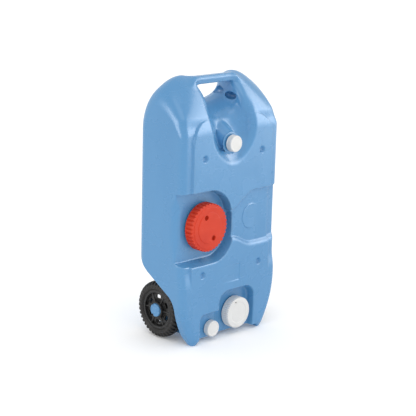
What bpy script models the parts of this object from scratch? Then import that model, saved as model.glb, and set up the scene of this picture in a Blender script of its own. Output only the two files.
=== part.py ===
"""Wheeled water tank: a blow-moulded tank with a moulded-in handle, four screw caps and two wheels.

Metres, +Z up. The caps face -Y and the wheels stick out at the back, +Y. Inside this script the
tank's middle plane is Y = 0, and one parent empty moves the whole model so that its origin lies on
the floor under the middle of its bounding box.
"""
import math

import bmesh
import bpy
from mathutils import Matrix, Vector

# Tank body
TANK_WIDTH = 0.300
TANK_DEPTH = 0.150
TANK_HEIGHT = 0.597
WALL = 0.0035
EDGE_RADIUS = 0.018
FRONT_Y = -TANK_DEPTH / 2
BACK_Y = TANK_DEPTH / 2

# Arched top, seen from the side: its crown lies behind the middle
ARCH_RISE = 0.117
ARCH_CROWN_Y = 0.020
FRONT_ARCH_POWER = 1.45
BACK_ARCH_POWER = 1.95
SPRING_Z = TANK_HEIGHT - ARCH_RISE

# The two lobes fall a little towards the sides
CROWN_START = 0.070
CROWN_FALL = 0.040

# Flanks drawn in towards the feet
FLANK_HEIGHT = 0.125
FOOT_INSET = 0.040

# Raised front panel between two lower side bands
PANEL_HALF = 0.116
PANEL_STEP = 0.004
PANEL_BOTTOM_Z = 0.140
PANEL_FADE = 0.035

# Valley between the lobes: depth position, floor's drop below the top, half width, corner rise
VALLEY_STATIONS = (
    (-0.092, 0.217, 0.084, 0.094),
    (-0.075, 0.203, 0.073, 0.088),
    (-0.068, 0.193, 0.067, 0.082),
    (-0.054, 0.163, 0.066, 0.070),
    (-0.040, 0.128, 0.065, 0.056),
    (-0.026, 0.103, 0.063, 0.046),
    (-0.010, 0.090, 0.058, 0.034),
    (0.008, 0.078, 0.053, 0.026),
    (0.022, 0.069, 0.053, 0.024),
    (0.038, 0.065, 0.057, 0.024),
    (0.056, 0.068, 0.064, 0.028),
    (0.074, 0.076, 0.072, 0.034),
    (0.092, 0.092, 0.080, 0.040),
)
VALLEY_LIP_MIN = 0.004
VALLEY_LIP_MAX = 0.025

# Oval pockets where the valley's walls meet its floor: Y, Z below the top, half sizes along X, Y, Z
POCKETS = (
    (-0.006, 0.055, (0.010, 0.018, 0.009)),
    (0.038, 0.046, (0.009, 0.017, 0.008)),
)
POCKET_X = 0.057
POCKET_FACETS = {"outer": (14, 10), "inner": (10, 8)}

# Handle bar across the valley
HANDLE_TOP_DROP = 0.004
HANDLE_HEIGHT = 0.021
HANDLE_DEPTH = 0.028
HANDLE_END_X = 0.068
HANDLE_FLARE_X = 0.043
HANDLE_FLARE = 1.30
HANDLE_SWELL = 1.12
HANDLE_SWELL_LENGTH = 0.010

# Recesses in the front, as floor depths behind the front face
FILLER_RECESS_DEPTH = 0.026
SIDE_RECESS_DEPTH = 0.008
OUTLET_RECESS_DEPTH = 0.0205
DRAIN_RECESS_DEPTH = 0.0155
LABEL_DEPTH = 0.001

# Filler recess, open to the left flank
FILLER_RECESS_TOP = 0.350
FILLER_RECESS_BOTTOM = 0.188
FILLER_RECESS_RIGHT = -0.002
FILLER_RECESS_RADIUS = 0.060
FILLER_LEDGE_RADIUS = 0.035
FILLER_LEDGE_SLOPE = 0.010

# Shallow recess, open to the right flank
SIDE_RECESS_TOP = 0.334
SIDE_RECESS_BOTTOM = 0.209
SIDE_RECESS_SLOPE = 0.013
SIDE_RECESS_OVERLAP = 0.012
SIDE_TOP_START = (0.002, 0.301, 0.010)
SIDE_TOP_END = (0.056, 0.030)
SIDE_STEP_HEIGHT = 0.015
SIDE_STEP_X = (0.016, 0.042)
SIDE_STEP_RADII = (0.012, 0.018)
SIDE_STEP_RUN = (0.002, 0.004)
DISC_CENTRE = (0.059, 0.275)
DISC_RADIUS = 0.0275
DISC_HEIGHT = 0.0015

# Arched recesses of the outlet and the drain, open at the bottom
OUTLET_RECESS_LEFT = -0.037
OUTLET_RECESS_RIGHT = 0.078
OUTLET_RECESS_TOP = 0.110
OUTLET_RECESS_RADIUS = 0.028
DRAIN_RECESS_LEFT = -0.093
DRAIN_RECESS_TOP = 0.070
DRAIN_RECESS_RADIUS = 0.015
RECESS_DRAFT = 0.003
RECESS_BEYOND = 0.010

# Label panel and dimples
LABEL_X = (-0.032, 0.028)
LABEL_Z = (0.131, 0.170)
DIMPLE_X = 0.089
DIMPLE_LOW_Z = 0.163
DIMPLE_HIGH_DROP = 0.173
DIMPLE_BALL_RADIUS = 0.007
DIMPLE_RADIUS = 0.0055

# Wheels and axle
WHEEL_RADIUS = 0.065
WHEEL_WIDTH = 0.034
WHEEL_X = 0.114
AXLE_Y = 0.0315
AXLE_Z = WHEEL_RADIUS
AXLE_RADIUS = 0.006
RUNNING_GAP = 0.0003
TUNNEL_WALL = 0.004

# Underside
BELLY_Z = 0.009
FOOT_INNER_X = 0.096
KEEL_HALF = 0.090
FOOT_BACK_Y = -0.061
TOE_Y = -0.068
TOE_HEIGHT = 0.012
UNDERCUT = -0.010

# Side outlines as y, z and corner radius: the wheel wells, and the hollow behind the keel
WELL_OUTLINE = ((BACK_Y + 0.030, 0.284, 0), (BACK_Y, 0.205, 0.015), (0.0655, 0.176, 0.020),
                (0.048, 0.160, 0.030),
                (-0.044, 0.106, 0.016), (-0.047, 0.024, 0.010), (FOOT_BACK_Y, 0.0, 0),
                (FOOT_BACK_Y - 0.006, UNDERCUT, 0), (BACK_Y + 0.030, UNDERCUT, 0))
KEEL_OUTLINE = ((BACK_Y + 0.020, 0.200, 0), (BACK_Y - 0.001, 0.196, 0.015), (0.060, 0.120, 0.040),
                (0.058, 0.034, 0.020), (0.036, BELLY_Z, 0.015), (0.020, BELLY_Z, 0),
                (0.020, UNDERCUT, 0), (BACK_Y + 0.020, UNDERCUT, 0))

# Spout hump in the valley
SPOUT_X = 0.0
SPOUT_DROP = 0.149
SPOUT_COLLAR_Y = -0.062
SPOUT_COLLAR_RADIUS = 0.023
SPOUT_COLLAR_LIP = 0.0012
HUMP_BACK_Y = -0.008
HUMP_BACK_RADIUS = 0.030
HUMP_RISE = 0.026

# Screw caps: the cup's walls, the sealing ring and the clearance over the neck's thread
CAP_TOP = 0.0030
SMALL_CAP_TOP = 0.0020
THREAD_CLEARANCE = 0.0015
SEAL_THICKNESS = 0.0022
SEAL_INSET = 0.0006
CAPS = {
    "filler": dict(x=-0.072, z=0.269, floor_y=FRONT_Y + FILLER_RECESS_DEPTH, gap=0.0045,
                   diameter=0.1085, depth=0.0235, skirt=0.0052, bore_wall=0.0050, top=CAP_TOP,
                   ribs=24, rib_radius=0.0042, rib_depth=0.0019, rib_sides=6),
    "outlet": dict(x=0.027, z=0.052, floor_y=FRONT_Y + OUTLET_RECESS_DEPTH, gap=0.0030,
                   diameter=0.0725, depth=0.0195, skirt=0.0034, bore_wall=0.0035, top=CAP_TOP,
                   ribs=28, rib_radius=0.0022, rib_depth=0.0009, rib_sides=4),
    "spout": dict(x=SPOUT_X, z=TANK_HEIGHT - SPOUT_DROP, floor_y=SPOUT_COLLAR_Y, gap=0.0035,
                  diameter=0.037, depth=0.0140, skirt=0.0022, bore_wall=0.0030, top=SMALL_CAP_TOP,
                  ribs=20, rib_radius=0.0018, rib_depth=0.0008, rib_sides=4),
    "drain": dict(x=-0.050, z=0.030, floor_y=FRONT_Y + DRAIN_RECESS_DEPTH, gap=0.0018,
                  diameter=0.037, depth=0.0127, skirt=0.0022, bore_wall=0.0030, top=SMALL_CAP_TOP,
                  ribs=20, rib_radius=0.0018, rib_depth=0.0008, rib_sides=4),
}
WELL_OFFSET = 0.027
WELL_RADIUS = 0.004
WELL_DEPTH = 0.0065
WELL_TILT = math.radians(25)
VENT_RADIUS = 0.0015
VENT_PLACE = (-0.010, 0.026)

# Wheel pieces, along the axle from the tank outwards
WASHER_THICKNESS = 0.0020
WASHER_RADIUS = 0.012
HUB_RADIUS = 0.0185
HUB_SEAT_LENGTH = 0.0284
HUB_POCKET_RADIUS = 0.0153
HUB_POCKET_DEPTH = 0.0090
BUSH_RADIUS = 0.0085
NUT_RADIUS = 0.010
NUT_HEIGHT = 0.0040
NUT_ROOF = 0.0010
HUB_CAP_SKIRT = 0.0050
HUB_CAP_WALL = 0.0018
HUB_CAP_TOP = 0.0035
HUB_CAP_NOTCHES = 3
HUB_CAP_NOTCH_RADIUS = 0.0035
TYRE_SEAT_RADIUS = 0.046
RIM_RING = 0.0045
RIM_HALF_WIDTH = 0.0135
WEB_THICKNESS = 0.0045
WEB_OFFSET = 0.0075
WINDOW_COUNT = 6
WINDOW_RADII = (0.0255, 0.0345)
WINDOW_HALF_ANGLE = math.radians(13)
TYRE_CROWN = ((1.0, 0.0030), (0.62, 0.0), (0.28, 0.0024), (0.08, 0.0065), (0.0, 0.0125))
LUG_COUNT = 14
LUG_GAP = 0.0045
LUG_DEPTH = 0.0030
LUG_LENGTH = 0.024
LUG_TILT = math.radians(48)

# Facets: wells, hump and underside need half as many on the hollow inside the tank
ARC_STEPS = 4
LIP_STEPS = 4
ROUND_STEPS = 28
SMALL_ROUND_STEPS = 16
WHEEL_STEPS = 2 * LUG_COUNT
OVERSHOOT = 0.006
MERGE = 0.00001

COLOURS = {
    "tank_blue": ((0.19, 0.42, 0.72), 0.38, 0.0),
    "cap_red": ((0.72, 0.06, 0.035), 0.40, 0.0),
    "cap_white": ((0.86, 0.86, 0.85), 0.38, 0.0),
    "seal_grey": ((0.07, 0.07, 0.07), 0.75, 0.0),
    "tyre_black": ((0.022, 0.022, 0.023), 0.70, 0.0),
    "rim_black": ((0.030, 0.030, 0.032), 0.50, 0.0),
    "hub_blue": ((0.13, 0.42, 0.82), 0.38, 0.0),
    "nylon": ((0.80, 0.79, 0.74), 0.45, 0.0),
    "zinc": ((0.62, 0.63, 0.65), 0.35, 1.0),
}


def clear_scene():
    """Remove what an earlier run left, so that a second run starts from nothing."""
    for obj in list(bpy.data.objects):
        bpy.data.objects.remove(obj, do_unlink=True)
    for collection in list(bpy.data.collections):
        bpy.data.collections.remove(collection)


def new_collection(name):
    collection = bpy.data.collections.new(name)
    bpy.context.scene.collection.children.link(collection)
    return collection


def material(name):
    """Principled material with the colour, roughness and metallic value listed above."""
    if name in bpy.data.materials:
        return bpy.data.materials[name]
    colour, roughness, metallic = COLOURS[name]
    made = bpy.data.materials.new(name)
    made.use_nodes = True
    shader = made.node_tree.nodes["Principled BSDF"]
    shader.inputs["Base Color"].default_value = (*colour, 1.0)
    shader.inputs["Roughness"].default_value = roughness
    shader.inputs["Metallic"].default_value = metallic
    made.diffuse_color = (*colour, 1.0)
    return made


def link_part(obj, material_name):
    """Put a finished piece among the parts and give it its own material."""
    PARTS.objects.link(obj)
    own = material(material_name).copy()
    own.name = obj.name
    obj.data.materials.clear()
    obj.data.materials.append(own)
    return obj


def link_cutter(obj):
    """Put a guide among the cutters, where it isn't rendered."""
    CUTTERS.objects.link(obj)
    obj.hide_render = True
    obj.display_type = "WIRE"
    return obj


def mesh_object(name, mesh_maker):
    """New object from a bmesh that mesh_maker fills."""
    mesh = bpy.data.meshes.new(name)
    work = bmesh.new()
    mesh_maker(work)
    bmesh.ops.recalc_face_normals(work, faces=work.faces)
    work.to_mesh(mesh)
    work.free()
    return bpy.data.objects.new(name, mesh)


def loft(name, rings):
    """Closed body through rings of equally many points, with a flat cap at each end."""
    def fill(work):
        loops = [[work.verts.new(point) for point in ring] for ring in rings]
        for low, high in zip(loops, loops[1:]):
            join_loops(work, low, high)
        work.faces.new(loops[0])
        work.faces.new(loops[-1])
    return mesh_object(name, fill)


def join_loops(work, low, high):
    """Ring of quads between two loops."""
    count = len(low)
    for i in range(count):
        j = (i + 1) % count
        work.faces.new((low[i], low[j], high[j], high[i]))


def cylinder(name, radius, start, end, steps=ROUND_STEPS, end_radius=None):
    """Cylinder or cone frustum between two points."""
    start = Vector(start)
    axis = Vector(end) - start
    turn = axis.to_track_quat("Z", "Y").to_matrix().to_4x4()
    place = Matrix.Translation(start + axis / 2) @ turn

    def fill(work):
        bmesh.ops.create_cone(work, cap_ends=True, segments=steps, radius1=radius,
                              radius2=radius if end_radius is None else end_radius,
                              depth=axis.length, matrix=place)
    return mesh_object(name, fill)


def facets(grow, count):
    """Facet count of a well, keel or hump on the outside, or half of it for its copy inside the tank."""
    return count // 2 if grow else count


def ellipsoid(name, centre, half_sizes, segments=12, rings=8):
    place = Matrix.Translation(centre) @ Matrix.Diagonal((*half_sizes, 1.0))

    def fill(work):
        bmesh.ops.create_uvsphere(work, u_segments=segments, v_segments=rings, radius=1.0, matrix=place)
    return mesh_object(name, fill)


def turned(name, profile, steps, closed=True):
    """Turned body: a profile of radius and height swept round the local Z axis."""
    mesh = bpy.data.meshes.new(name)
    points = [(radius, 0.0, height) for radius, height in profile]
    edges = [(i, i + 1) for i in range(len(points) - 1)]
    if closed:
        edges.append((len(points) - 1, 0))
    mesh.from_pydata(points, edges, [])
    obj = bpy.data.objects.new(name, mesh)
    screw = obj.modifiers.new("Turn", "SCREW")
    screw.axis = "Z"
    screw.steps = steps
    screw.render_steps = steps
    screw.use_merge_vertices = True
    screw.merge_threshold = MERGE
    screw.use_smooth_shade = True
    return obj


def boolean(target, other, operation="DIFFERENCE"):
    modifier = target.modifiers.new(other.name, "BOOLEAN")
    modifier.operation = operation
    modifier.object = other
    modifier.solver = "EXACT"


def cut(target, *others):
    for other in others:
        boolean(target, other)


def join(target, *others):
    for other in others:
        boolean(target, other, "UNION")


def smooth(obj, degrees=35.0):
    """Smooth shading with creases at the sharp edges, kept after the other modifiers."""
    obj.data.shade_smooth()
    obj.data.set_sharp_from_angle(angle=math.radians(degrees))


def grown_corners(corners, grow):
    """Move each side of a polygon of (u, v, radius) corners outwards; round corners follow."""
    count = len(corners)
    area = sum(corners[i][0] * corners[(i + 1) % count][1] - corners[(i + 1) % count][0] * corners[i][1]
               for i in range(count))
    side = 1.0 if area > 0 else -1.0
    moved = []
    for i in range(count):
        before = Vector(corners[i - 1][:2])
        here = Vector(corners[i][:2])
        after = Vector(corners[(i + 1) % count][:2])
        d_in = (here - before).normalized()
        d_out = (after - here).normalized()
        n_in = Vector((d_in.y, -d_in.x)) * side
        n_out = Vector((d_out.y, -d_out.x)) * side
        mitre = (n_in + n_out) / (1.0 + n_in.dot(n_out))
        point = here + mitre * grow
        convex = (d_in.x * d_out.y - d_in.y * d_out.x) * side > 0
        radius = corners[i][2]
        if radius > 0:
            radius = max(radius + (grow if convex else -grow), 0.0005)
        moved.append((point.x, point.y, radius))
    return moved


def rounded_outline(corners, steps=ARC_STEPS):
    """Points of a polygon whose (u, v, radius) corners are rounded by arcs."""
    points = []
    count = len(corners)
    for i, (u, v, radius) in enumerate(corners):
        here = Vector((u, v))
        if radius <= 0:
            points.append(here)
            continue
        to_before = (Vector(corners[i - 1][:2]) - here).normalized()
        to_after = (Vector(corners[(i + 1) % count][:2]) - here).normalized()
        half_angle = to_before.angle(to_after) / 2
        bisector = (to_before + to_after).normalized()
        centre = here + bisector * (radius / math.sin(half_angle))
        first = here + to_before * (radius / math.tan(half_angle)) - centre
        last = here + to_after * (radius / math.tan(half_angle)) - centre
        sweep = first.angle_signed(last)
        for step in range(steps + 1):
            arm = first.copy()
            arm.rotate(Matrix.Rotation(-sweep * step / steps, 2))
            points.append(centre + arm)
    return points


def front_prism(name, corners, front_y, floor_y, floor_corners=None, steps=ARC_STEPS):
    """Body along Y between an outline of (x, z) at front_y and one at floor_y."""
    front = rounded_outline(corners, steps)
    floor = rounded_outline(floor_corners or corners, steps)
    return loft(name, [[(p.x, front_y, p.y) for p in front], [(p.x, floor_y, p.y) for p in floor]])


def side_prism(name, corners, x_from, x_to, steps=ARC_STEPS):
    """Body along X with an outline of (y, z)."""
    outline = rounded_outline(corners, steps)
    return loft(name, [[(x, p.x, p.y) for p in outline] for x in (x_from, x_to)])


def arch_rise(y, rise=ARCH_RISE, front=FRONT_Y, back=BACK_Y):
    """Height of the side arch over its springing, at depth y."""
    reach = (ARCH_CROWN_Y - front) if y < ARCH_CROWN_Y else (back - ARCH_CROWN_Y)
    power = FRONT_ARCH_POWER if y < ARCH_CROWN_Y else BACK_ARCH_POWER
    share = min(abs(y - ARCH_CROWN_Y) / reach, 1.0)
    return rise * (1.0 - share ** power) ** (1.0 / power)


def panel_share(z):
    """How much of the panel's step shows at height z: none at its foot, nor up on the arch."""
    up = (z - PANEL_BOTTOM_Z) / PANEL_FADE
    down = (SPRING_Z + PANEL_FADE - z) / PANEL_FADE
    return max(0.0, min(1.0, up, down))


def side_section(inset, band, fall, base, stride):
    """Points (y, z) of the tank's side outline: front up, over the arch, and down the back."""
    front = FRONT_Y + inset
    back = BACK_Y - inset
    rise = ARCH_RISE - inset - fall
    levels = [base] + [z for z in section_levels() if z > base + 0.002]
    points = [(front + band * panel_share(z), z) for z in levels]
    for step in range(0, 10, stride):
        angle = math.radians(10 * step)
        y = ARCH_CROWN_Y - (ARCH_CROWN_Y - front) * math.cos(angle) ** (2 / FRONT_ARCH_POWER)
        z = SPRING_Z + rise * math.sin(angle) ** (2 / FRONT_ARCH_POWER)
        points.append((y + band * panel_share(z), z))
    for step in range(8, -1, -stride):
        angle = math.radians(11 * step)
        y = ARCH_CROWN_Y + (back - ARCH_CROWN_Y) * math.cos(angle) ** (2 / BACK_ARCH_POWER)
        z = SPRING_Z + rise * math.sin(angle) ** (2 / BACK_ARCH_POWER)
        points.append((y, z))
    points += [(back, z) for z in reversed(levels)]
    return points


def section_levels():
    """Heights at which the straight part of a side section has points."""
    flank = [FLANK_HEIGHT * (i / 5) ** 1.5 for i in range(6)]
    return flank + [PANEL_BOTTOM_Z, PANEL_BOTTOM_Z + PANEL_FADE]


def flank_inset(z):
    """How far the flank is drawn in at height z."""
    if z >= FLANK_HEIGHT:
        return 0.0
    return FOOT_INSET * ((FLANK_HEIGHT - z) / FLANK_HEIGHT) ** 2


def width_stations(inset, stride):
    """Positions across the right half: x, how far the section is drawn in, whether on the band."""
    half = TANK_WIDTH / 2 - inset
    radius = EDGE_RADIUS - inset
    stations = [(CROWN_START, 0.0, 0.0), ((CROWN_START + PANEL_HALF) / 2, 0.0, 0.0), (PANEL_HALF, 0.0, 0.0),
                (PANEL_HALF + PANEL_STEP, 0.0, PANEL_STEP)]
    for step in range(0, 5, stride):
        angle = math.radians(90 * step / 4)
        stations.append((half - radius + radius * math.sin(angle), radius * (1 - math.cos(angle)),
                         PANEL_STEP))
    return stations


def tank_form(name, inset, base):
    """The tank's pillow-shaped block, or the hollow inside it where inset is the wall."""
    right = []
    half = TANK_WIDTH / 2 - inset
    stride = 2 if inset else 1
    for x, draw_in, band in width_stations(inset, stride):
        fall = CROWN_FALL * ((x - CROWN_START) / (TANK_WIDTH / 2 - CROWN_START)) ** 2
        section = side_section(inset + draw_in, band, fall, base, stride)
        right.append([(x * (1 - flank_inset(z) / half), y, z) for y, z in section])
    left = [[(-x, y, z) for x, y, z in ring] for ring in reversed(right)]
    rings = left + right
    straight = sum(1 for x, y, z in rings[-1] if z < FLANK_HEIGHT - 0.001) // 2

    def fill(work):
        loops = [[work.verts.new(point) for point in ring] for ring in rings]
        for low, high in zip(loops, loops[1:]):
            join_loops(work, low, high)
        for loop in (loops[0], loops[-1]):
            for i in range(straight):
                work.faces.new((loop[i], loop[i + 1], loop[-2 - i], loop[-1 - i]))
            work.faces.new(loop[straight:len(loop) - straight])
    return mesh_object(name, fill)


def valley_cutter(name, grow):
    """Scoop between the lobes: round-cornered sections that rise from the front to a saddle."""
    rings = []
    last = len(VALLEY_STATIONS) - 1
    for i, (y, drop, half_width, rise) in enumerate(VALLEY_STATIONS):
        before = VALLEY_STATIONS[max(i - 1, 0)]
        after = VALLEY_STATIONS[min(i + 1, last)]
        slope = math.atan2(before[1] - after[1], after[0] - before[0])
        arch = SPRING_Z + arch_rise(y) - grow
        lip = VALLEY_LIP_MAX - VALLEY_LIP_MIN
        lip = VALLEY_LIP_MIN + lip * (arch_rise(y) / ARCH_RISE) ** 2
        lip = max(lip - grow, 0.0005)
        floor = TANK_HEIGHT - drop - grow * math.cos(slope)
        arch = max(arch, floor + rise + lip + 0.002)
        rings.append(valley_ring(y + grow * math.sin(slope), floor, half_width + grow, rise, arch, lip,
                                 LIP_STEPS))
    return loft(name, rings)


def valley_ring(y, floor, half_width, rise, arch, lip, steps):
    """One section of the valley: floor, elliptic corners, walls and lips that turn outwards."""
    turns = [math.radians(90 * step / steps) for step in range(steps + 1)]
    half = [(half_width * math.sin(turn), floor + rise * (1 - math.cos(turn))) for turn in turns]
    half += [(half_width + lip * (1 - math.cos(turn)), arch - lip + lip * math.sin(turn))
             for turn in turns]
    half.append((half_width + lip + 0.020, TANK_HEIGHT + 0.030))
    right = [(x, y, z) for x, z in half]
    left = [(-x, y, z) for x, z in reversed(half[1:])]
    return left + right


def pocket_cutters(grow):
    """Oval pockets on both sides of the saddle."""
    made = []
    for number, (y, drop, half_sizes) in enumerate(POCKETS):
        sizes = [size + grow for size in half_sizes]
        for side, label in ((-1, "left"), (1, "right")):
            centre = (side * POCKET_X, y, TANK_HEIGHT - drop)
            segments, levels = POCKET_FACETS[name_of(grow)]
            pocket = ellipsoid(f"pocket_{label}_{number}_{name_of(grow)}", centre, sizes, segments, levels)
            made.append(link_cutter(pocket))
    return made


def name_of(grow):
    return "inner" if grow else "outer"


def filler_recess(grow):
    """Recess round the filler cap, open to the left, with a sloping ledge below."""
    out = -TANK_WIDTH / 2 - 0.02
    corners = [(out, FILLER_RECESS_TOP, 0), (out, FILLER_RECESS_BOTTOM, 0),
               (FILLER_RECESS_RIGHT, FILLER_RECESS_BOTTOM, FILLER_LEDGE_RADIUS),
               (FILLER_RECESS_RIGHT, FILLER_RECESS_TOP, FILLER_RECESS_RADIUS)]
    ledge = FILLER_RECESS_BOTTOM + FILLER_LEDGE_SLOPE
    inner = FILLER_RECESS_RIGHT - RECESS_DRAFT
    floor = [(out, FILLER_RECESS_TOP - RECESS_DRAFT, 0), (out, ledge, 0),
             (inner, ledge, FILLER_LEDGE_RADIUS), (inner, FILLER_RECESS_TOP - RECESS_DRAFT,
                                                   FILLER_RECESS_RADIUS)]
    return recess(f"filler_recess_{name_of(grow)}", corners, floor, FILLER_RECESS_DEPTH, grow)


def side_recess(grow):
    """Shallow recess on the right, open to the right flank, with a sloping lower edge."""
    out = TANK_WIDTH / 2 + 0.02
    start = FILLER_RECESS_RIGHT - SIDE_RECESS_OVERLAP
    top = SIDE_RECESS_TOP
    low = SIDE_RECESS_BOTTOM
    (x1, x2), (r1, r2), (run1, run2) = SIDE_STEP_X, SIDE_STEP_RADII, SIDE_STEP_RUN
    step = low + SIDE_STEP_HEIGHT
    turn_x, turn_z, turn_r = SIDE_TOP_START
    end_x, end_r = SIDE_TOP_END
    shelf = turn_z - SIDE_RECESS_SLOPE / 2
    corners = [(start, shelf, 0), (start, step, 0), (x1, step, r1), (x2, low, r2), (out, low, 0),
               (out, top, 0), (end_x, top, end_r), (turn_x, turn_z, turn_r)]
    draft = RECESS_DRAFT
    bevel = low + SIDE_RECESS_SLOPE
    ledge = bevel + SIDE_STEP_HEIGHT / 2
    floor = [(start, shelf - draft, 0), (start, ledge, 0), (x1 + run1, ledge, r1),
             (x2 + run2, bevel, r2), (out, bevel, 0), (out, top - draft, 0),
             (end_x, top - draft, end_r), (turn_x, turn_z - draft, turn_r)]
    return recess(f"side_recess_{name_of(grow)}", corners, floor, SIDE_RECESS_DEPTH, grow)


def outlet_recess(grow):
    """Arched recess round the outlet cap, open at the bottom."""
    return arched_recess("outlet_recess", OUTLET_RECESS_LEFT, OUTLET_RECESS_RIGHT, OUTLET_RECESS_TOP,
                         OUTLET_RECESS_RADIUS, OUTLET_RECESS_RADIUS, OUTLET_RECESS_DEPTH, grow)


def drain_recess(grow):
    """Lower arched recess round the drain cap, running into the outlet's recess."""
    return arched_recess("drain_recess", DRAIN_RECESS_LEFT, OUTLET_RECESS_LEFT + 0.010,
                         DRAIN_RECESS_TOP, DRAIN_RECESS_RADIUS, 0, DRAIN_RECESS_DEPTH, grow)


def arched_recess(name, left, right, top, left_radius, right_radius, depth, grow):
    low = -0.030
    corners = [(left, low, 0), (right, low, 0), (right, top, right_radius), (left, top, left_radius)]
    draft = RECESS_DRAFT
    floor = [(left + draft, low, 0), (right - draft, low, 0),
             (right - draft, top - draft, right_radius), (left + draft, top - draft, left_radius)]
    return recess(f"{name}_{name_of(grow)}", corners, floor, depth, grow)


def recess(name, corners, floor, depth, grow):
    """Cutter for a recess, wider at the front face than at its floor."""
    inner = grown_corners(floor, grow)
    outer = extended(inner, grown_corners(corners, grow), (depth + RECESS_BEYOND) / depth)
    return link_cutter(front_prism(name, outer, FRONT_Y - RECESS_BEYOND, FRONT_Y + depth + grow, inner))


def extended(inner, outer, factor):
    """Carry the draft from the inner outline past the outer one, out in front of the tank."""
    made = []
    for (u0, v0, r0), (u1, v1, r1) in zip(inner, outer):
        made.append((u0 + (u1 - u0) * factor, v0 + (v1 - v0) * factor, max(r0 + (r1 - r0) * factor, 0)))
    return made


def wheel_well(side, grow):
    """Space of one wheel: behind the foot and below a line that slopes down from the back."""
    label = "left" if side < 0 else "right"
    outer_x = TANK_WIDTH / 2 + 0.010
    well = side_prism(f"well_{label}_{name_of(grow)}", grown_corners(WELL_OUTLINE, grow),
                      side * (KEEL_HALF - grow), side * outer_x, facets(grow, ARC_STEPS))
    return link_cutter(well)


def keel_cutter(grow):
    """Rounds off the block between the wheels behind and below the axle."""
    half = KEEL_HALF + 0.006
    return link_cutter(side_prism(f"keel_{name_of(grow)}", grown_corners(KEEL_OUTLINE, grow), -half, half,
                                  facets(grow, ARC_STEPS)))


def belly_cutter():
    """Lifts the underside between the feet."""
    lean = 0.004
    radius = 0.003
    corners = [(-FOOT_INNER_X - lean, UNDERCUT, 0), (FOOT_INNER_X + lean, UNDERCUT, 0),
               (FOOT_INNER_X, 0.0, 0), (FOOT_INNER_X - lean, BELLY_Z, radius),
               (-FOOT_INNER_X + lean, BELLY_Z, radius), (-FOOT_INNER_X, 0.0, 0)]
    return link_cutter(front_prism("belly", corners, FRONT_Y - OVERSHOOT, BACK_Y + OVERSHOOT))


def toe_cutter():
    """Bevels the front lower edge of the feet."""
    beyond = FRONT_Y - RECESS_BEYOND
    corners = [(beyond, 2 * TOE_HEIGHT, 0), (FRONT_Y, TOE_HEIGHT, TOE_HEIGHT / 2), (TOE_Y, 0.0, 0),
               (TOE_Y + TOE_HEIGHT / 2, UNDERCUT, 0), (beyond, UNDERCUT, 0)]
    half = TANK_WIDTH / 2
    return link_cutter(side_prism("toe", corners, -half, half))


def label_cutter():
    """Plain sunk label field between the lower dimples."""
    corners = [(LABEL_X[0], LABEL_Z[0], 0.002), (LABEL_X[1], LABEL_Z[0], 0.002),
               (LABEL_X[1], LABEL_Z[1], 0.002), (LABEL_X[0], LABEL_Z[1], 0.002)]
    return link_cutter(front_prism("label_field", corners, FRONT_Y - OVERSHOOT, FRONT_Y + LABEL_DEPTH))


def dimple_cutters():
    """Four shallow round dimples in the front panel."""
    made = []
    back_off = math.sqrt(DIMPLE_BALL_RADIUS ** 2 - DIMPLE_RADIUS ** 2)
    for side, label in ((-1, "left"), (1, "right")):
        for z, level in ((DIMPLE_LOW_Z, "low"), (TANK_HEIGHT - DIMPLE_HIGH_DROP, "high")):
            ball = ellipsoid(f"dimple_{label}_{level}", (side * DIMPLE_X, FRONT_Y - back_off, z),
                             (DIMPLE_BALL_RADIUS,) * 3, 10, 14)
            made.append(link_cutter(ball))
    return made


def hump(name, shrink):
    """Oblique cone that carries the spout: round at the collar, rising backwards into the floor."""
    front_y = SPOUT_COLLAR_Y + shrink
    back_y = HUMP_BACK_Y + 2 * shrink
    z = TANK_HEIGHT - SPOUT_DROP
    cone = cylinder(name, SPOUT_COLLAR_RADIUS - shrink, (SPOUT_X, front_y, z), (SPOUT_X, back_y, z),
                    facets(shrink, ROUND_STEPS), HUMP_BACK_RADIUS - shrink)
    length = HUMP_BACK_Y - SPOUT_COLLAR_Y
    for vertex in cone.data.vertices:
        vertex.co.z += HUMP_RISE * (vertex.co.y - SPOUT_COLLAR_Y) / length
    return link_cutter(cone)


def handle_bar():
    """Bar across the valley: six-sided with rounded edges, thicker where it meets the lobes."""
    top = TANK_HEIGHT - HANDLE_TOP_DROP
    middle = top - HANDLE_HEIGHT / 2
    depth = HANDLE_DEPTH / 2
    rise = HANDLE_HEIGHT / 2
    edge = 0.60 * depth
    corners = [(-depth, 0.005, 0.003), (-edge, -rise, 0.004), (edge, -rise, 0.004),
               (depth, 0.0, 0.004), (edge, rise, 0.004), (-0.55 * depth, rise, 0.004)]
    outline = rounded_outline(corners, 2)
    swell_x = HANDLE_FLARE_X + HANDLE_SWELL_LENGTH
    half = [(HANDLE_FLARE_X, 1.0), (swell_x, HANDLE_SWELL), (HANDLE_END_X, HANDLE_FLARE)]
    rings = []
    for x, scale in [(-x, scale) for x, scale in reversed(half)] + half:
        height = 1 + (scale - 1) * 0.4
        rings.append([(x, p.x * scale, middle + p.y * height) for p in outline])
    return link_cutter(loft("handle_bar", rings))


def cap_face_y(cap):
    """Front face of a cap, out from the surface that its neck stands on."""
    return cap["floor_y"] - cap["gap"] - cap["depth"]


def cap_inner_radius(cap):
    return cap["diameter"] / 2 - cap["skirt"]


def neck_radius(cap):
    return cap_inner_radius(cap) - THREAD_CLEARANCE


def bore_radius(cap):
    return neck_radius(cap) - cap["bore_wall"]


def neck_lip_y(cap):
    """Lip of the neck: under the cap's top and the sealing ring, with a gap on both its sides."""
    return cap_face_y(cap) + cap["top"] + 2 * RUNNING_GAP + SEAL_THICKNESS


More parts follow.
